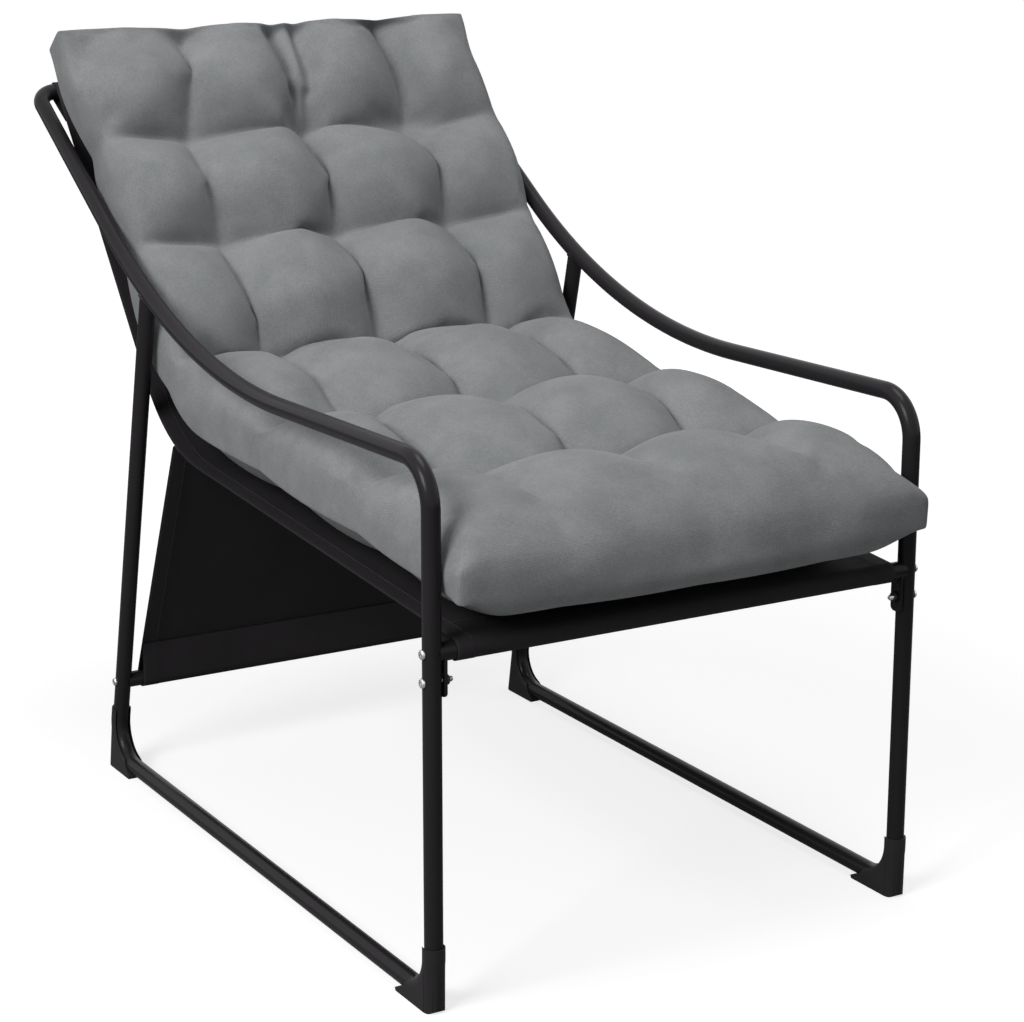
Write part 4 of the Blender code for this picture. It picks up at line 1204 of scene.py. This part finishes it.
def ease(share):
    """From 0 to 1, flat at both ends."""
    share = min(max(share, 0.0), 1.0)
    return share * share * (3 - 2 * share)


def swell(share):
    """Rise of the filling between two rows of stitches, steep beside each row."""
    return max(0.0, math.sin(math.pi * min(max(share, 0), 1))) ** SWELL_POWER


def edge_fall(distance, length):
    """Share of the full thickness at a distance from the outer seam."""
    if distance >= length:
        return 1.0
    return math.sqrt(max(0.0, 1 - (1 - distance / length) ** 2))


def cell_at(position, lengths):
    """Index of the cell at a position, and the share of the way through it."""
    start = 0.0
    for index, length in enumerate(lengths):
        if position <= start + length or index == len(lengths) - 1:
            return index, (position - start) / length
        start += length


def cell_swell(index, share, count):
    """Swell in one direction; the outer cells stay full out to the seam."""
    if (index == 0 and share < 0.5) or (index == count - 1 and share > 0.5):
        return 1.0
    return swell(share)


def seam_heights(along):
    """Heights of the upper and the under seam from the middle surface."""
    rise = ease(1 - (PAD_LENGTH - along) / TOP_SEAM_RUN)
    half = PAD_BAND / 2
    return half + (TOP_SEAM - half) * rise, half * (rise - 1)


def pad_heights(along, across):
    """Heights of the pad's upper and under side from its middle surface, before the filling swells."""
    row, row_share = cell_at(along, PAD_ROWS)
    column, column_share = cell_at(across, PAD_COLUMNS)
    last_row = row == len(PAD_ROWS) - 1
    row_rise = cell_swell(row, row_share, len(PAD_ROWS))
    valley = 1 - cell_swell(column, column_share, len(PAD_COLUMNS))
    if last_row:
        valley = middle_fold(row_share, abs(across - PAD_HALF), valley)
    if row == 0:
        valley *= 0.2 + 0.8 * row_share
    creased = 1 - row_rise * (1 - valley)
    tufted = (1 - row_rise + valley) / 2
    sink = CREASE * creased + (1 - CREASE) * tufted
    from_end = PAD_LENGTH - along
    from_side = min(across, PAD_WIDTH - across)
    sink *= SIDE_CREASE + (1 - SIDE_CREASE) * ease(from_side / SIDE_CREASE_RUN)
    top_fall = edge_fall(from_end, TOP_ROUND)
    upper_fall = top_fall * edge_fall(along, FRONT_ROUND) * edge_fall(from_side, SIDE_ROUND)
    under_fall = top_fall * edge_fall(along, UNDER_FRONT_ROUND) * ease(from_side / UNDER_SIDE_ROUND)
    full = PAD_THICKNESS / 2
    crown = COVER_CROWN + (full - COVER_CROWN) * ease(2 - along / FRONT_FULL)
    crown -= TOP_SINK * ease(1 - from_end / TOP_SINK_RUN)
    upper_seam, under_seam = seam_heights(along)
    nick = SEAM_NICK * valley * ease(1 - from_end / SEAM_NICK_RUN)
    upper = upper_seam - nick + (crown - TUFT_DEPTH * sink - upper_seam) * upper_fall
    under = under_seam - (full - UNDER_DEPTH * sink + under_seam) * under_fall
    return upper, under


def middle_fold(row_share, off_middle, valley):
    """In the top row the middle crease opens to a fold of cloth between two creases."""
    half = FOLD_HALF * ease(row_share * 2)
    if off_middle >= 2 * half:
        return valley
    if off_middle > half:
        return 1 - swell((off_middle - half) / TUFT_SPACING)
    return 1 - FOLD_RISE * ease((half - off_middle) / half * FOLD_SPREAD)


def graded(length, marks):
    """Positions along a length, closer together at both ends, with one at each mark."""
    positions, here = [0.0], 0.0
    while here < length:
        edge = max(0.0, min(here, length - here))
        here += GRID_FINEST + (GRID_STEP - GRID_FINEST) * min(1.0, edge / GRID_EDGE)
        positions.append(here)
    positions = [position * length / positions[-1] for position in positions]
    for mark in marks:
        near = min(range(1, len(positions) - 1), key=lambda i: abs(positions[i] - mark))
        positions[near] = mark
    return positions


def pad_grid():
    """Points and faces of the cover, where each point lies and on what, and the faces' cloth map."""
    rows, columns = graded(PAD_LENGTH, TUFT_LENGTHS), graded(PAD_WIDTH, TUFT_OFFSETS)
    verts, spots = [], []
    upper_side, under_side = [], []

    def add(line, x, point, *spot):
        line.append(len(verts))
        verts.append(place(x, *point))
        spots.append(spot)

    for along in rows:
        centre, run = pad_station(along)
        normal = left_normal(run)
        row, share_along = cell_at(along, PAD_ROWS)
        slack = cell_swell(row, share_along, len(PAD_ROWS))
        top_share = max(0, 1 - (PAD_LENGTH - along) / PAD_ROWS[-1])
        front_share = max(0, 1 - along / FRONT_EAR_RUN)
        rounding = FRONT_CORNER_ROUND * (1 - edge_fall(along, FRONT_CORNER_ROUND))
        bow = PAD_BOW * max(0, 1 - along / PAD_ROWS[0])
        upper_side.append([])
        under_side.append([])
        for across in columns:
            share = (across - PAD_HALF) / PAD_HALF
            side = 1 if share > 0 else -1
            drawn = SIDE_DRAW[side] * (1 - slack) + rounding
            reach = PAD_HALF - drawn + FRONT_EAR[side] * front_share + TOP_EAR[side] * top_share
            x = share * reach + top_share * gather_at(across)
            seam = centre - run * bow * (1 - share ** 2)
            upper, under = pad_heights(along, across)
            add(upper_side[-1], x, seam + normal * upper, across, along, "upper")
            add(under_side[-1], x, seam + normal * under, across, along, "under")
    cloth = spread_out(verts, upper_side)
    cloth.update(spread_out(verts, under_side))
    faces = []
    for i in range(len(rows) - 1):
        for j in range(len(columns) - 1):
            faces.append(upper_side[i][j:j + 2] + upper_side[i + 1][j:j + 2][::-1])
            faces.append([under_side[i][j], *under_side[i + 1][j:j + 2], under_side[i][j + 1]])
    corners = [cloth[vert] for face in faces for vert in face]
    strips = []
    for upper, under in zip(rim(upper_side), rim(under_side)):
        spots[upper], spots[under] = (*spots[upper][:2], "upper seam"), (*spots[under][:2], "under seam")
        strip = [upper]
        for step in range(1, BAND_STEPS):
            strip.append(len(verts))
            verts.append(verts[upper].lerp(verts[under], step / BAND_STEPS))
            spots.append((*spots[upper][:2], "band"))
        strips.append(strip + [under])
    reach = 0.0
    for near, far in zip(strips, strips[1:] + strips[:1]):
        onward = reach + (verts[far[0]] - verts[near[0]]).length
        depths = [(verts[near[0]] - verts[vert]).length for vert in near]
        for step in range(BAND_STEPS):
            faces.append((near[step], near[step + 1], far[step + 1], far[step]))
            corners += [(reach, depths[step]), (reach, depths[step + 1])]
            corners += [(onward, depths[step + 1]), (onward, depths[step])]
        reach = onward
    return verts, faces, spots, corners


def spread_out(verts, side):
    """Place of each point of one side on flat cloth: its lengths across and along the surface."""
    middle = len(side[0]) // 2
    places, along = {}, [0.0] * len(side[0])
    for i, row in enumerate(side):
        if i:
            steps = [(verts[vert] - verts[below]).length for vert, below in zip(row, side[i - 1])]
            along = [here + step for here, step in zip(along, steps)]
        across = [0.0]
        for near, far in zip(row, row[1:]):
            across.append(across[-1] + (verts[far] - verts[near]).length)
        for j, vert in enumerate(row):
            places[vert] = (across[j] - across[middle], along[j])
    return places


def gather_at(across):
    """How far the cover leans sideways at the top end, at a distance from the left seam."""
    column, share = cell_at(across, PAD_COLUMNS)
    return TOP_GATHER[column] * (1 - share) + TOP_GATHER[column + 1] * share


def rim(rows):
    """The outer points of a grid, once round."""
    left = [row[0] for row in rows[1:-1]]
    right = [row[-1] for row in rows[1:-1]]
    return rows[0] + right + list(reversed(rows[-1])) + list(reversed(left))


def hold_weight(across, along, kind):
    """How firmly a point keeps its place while the filling swells."""
    if kind in ("under", "under seam"):
        return 1.0
    if kind == "band":
        return 0.0
    if kind == "upper seam":
        return TOP_SEAM_HOLD if along > PAD_LENGTH - 1e-6 else SEAM_HOLD
    tufts = ((offset, length) for length in TUFT_LENGTHS for offset in TUFT_OFFSETS)
    near = min(math.hypot(across - offset, along - length) for offset, length in tufts)
    return 1.0 if near < TUFT_SPOT else max(0.0, 1 - (near - TUFT_SPOT) / TUFT_SPOT) * 0.5


def taut_weight(across, along, kind):
    """How taut the cover is cut: most at the seams and round the front, the sides and the top end."""
    if kind in ("band", "upper seam"):
        return 1.0
    front = ease(1 - (along - FRONT_TAUT) / FRONT_TAUT_RUN)
    side = ease(1 - min(across, PAD_WIDTH - across) / SIDE_TAUT_RUN)
    top = ease(1 - (PAD_LENGTH - along) / TOP_TAUT_RUN)
    return max(front, side, top)


def add_group(piece, name, weigh, spots):
    group = piece.vertex_groups.new(name=name)
    for index, spot in enumerate(spots):
        weight = weigh(*spot)
        if weight > 0:
            group.add([index], weight, "REPLACE")
    return name


def swell_cover(pad, spots):
    """Let the filling press the cover out from the seams and tufts, then keep that shape."""
    cloth = pad.modifiers.new("cover", "CLOTH")
    settings = cloth.settings
    settings.quality = 6
    settings.mass = 0.3
    settings.tension_stiffness = settings.compression_stiffness = 15
    settings.shear_stiffness = 5
    settings.bending_stiffness = 1
    settings.air_damping = 1
    settings.tension_damping = settings.compression_damping = 5
    settings.use_pressure = True
    settings.uniform_pressure_force = 5
    settings.shrink_min = -0.09
    settings.shrink_max = 0
    settings.vertex_group_shrink = add_group(pad, "taut", taut_weight, spots)
    settings.vertex_group_mass = add_group(pad, "hold", hold_weight, spots)
    settings.pin_stiffness = 5
    settings.effector_weights.gravity = 0
    cloth.collision_settings.use_collision = False
    cloth.point_cache.frame_end = SWELL_FRAMES
    for step in range(1, SWELL_FRAMES + 1):
        bpy.context.scene.frame_set(step)
    start = np.empty(len(spots) * 3, np.float32)
    pad.data.vertices.foreach_get("co", start)
    moved = np.empty_like(start)
    pad.evaluated_get(bpy.context.evaluated_depsgraph_get()).data.vertices.foreach_get("co", moved)
    start, moved = start.reshape(-1, 3), moved.reshape(-1, 3)
    travel = np.linalg.norm(moved - start, axis=1)
    kept = start + (moved - start) * np.minimum(1, SWELL_LIMIT / np.maximum(travel, 1e-9))[:, None]
    pad.modifiers.remove(cloth)
    pad.vertex_groups.clear()
    bpy.context.scene.frame_set(1)
    pad.data.vertices.foreach_set("co", kept.ravel())
    pad.data.update()


def cushion():
    verts, faces, spots, corners = pad_grid()
    pad = cloth_piece("tufted_pad", verts, faces, corners)
    pad.data.set_sharp_from_angle(angle=math.pi)
    swell_cover(pad, spots)
    apply_modifier(pad, "SUBSURF", levels=1, render_levels=1)
    belong(pad, "pad_cloth", "cushion", body="cushion")


# Make the scene

clear_startup()
bpy.context.scene.view_settings.view_transform = "Standard"
photo_camera()
white_world()
soft_panels()
pale_floor()

FINISHES = {
    "frame_paint": satin_paint(),
    "foot_plastic": moulded_plastic(),
    "zinc": bright_zinc(),
    "black_oxide": blackened_steel(),
    "sling_cloth": sling_cloth(),
    "pad_cloth": pad_cloth(),
}
THREAD = sewing_thread()
for subpart in frame["record"]["subparts"]:
    node = frame["nodes"][subpart["node"]]
    node.data.materials.clear()
    node.data.materials.append(FINISHES[subpart["material_slot"]])

for side_label, side_sign in SIDES:
    side_frame(side_label, side_sign)
cross_rail("front_cross_rail", "front_rail", FRONT_RAIL, UPRIGHT)
cross_rail("rear_cross_rail", "rear_rail", REAR_RAIL, REAR_LEG_RUN)
rail_tabs()
fasteners()
corner_feet()
sling()
tail()
cushion()
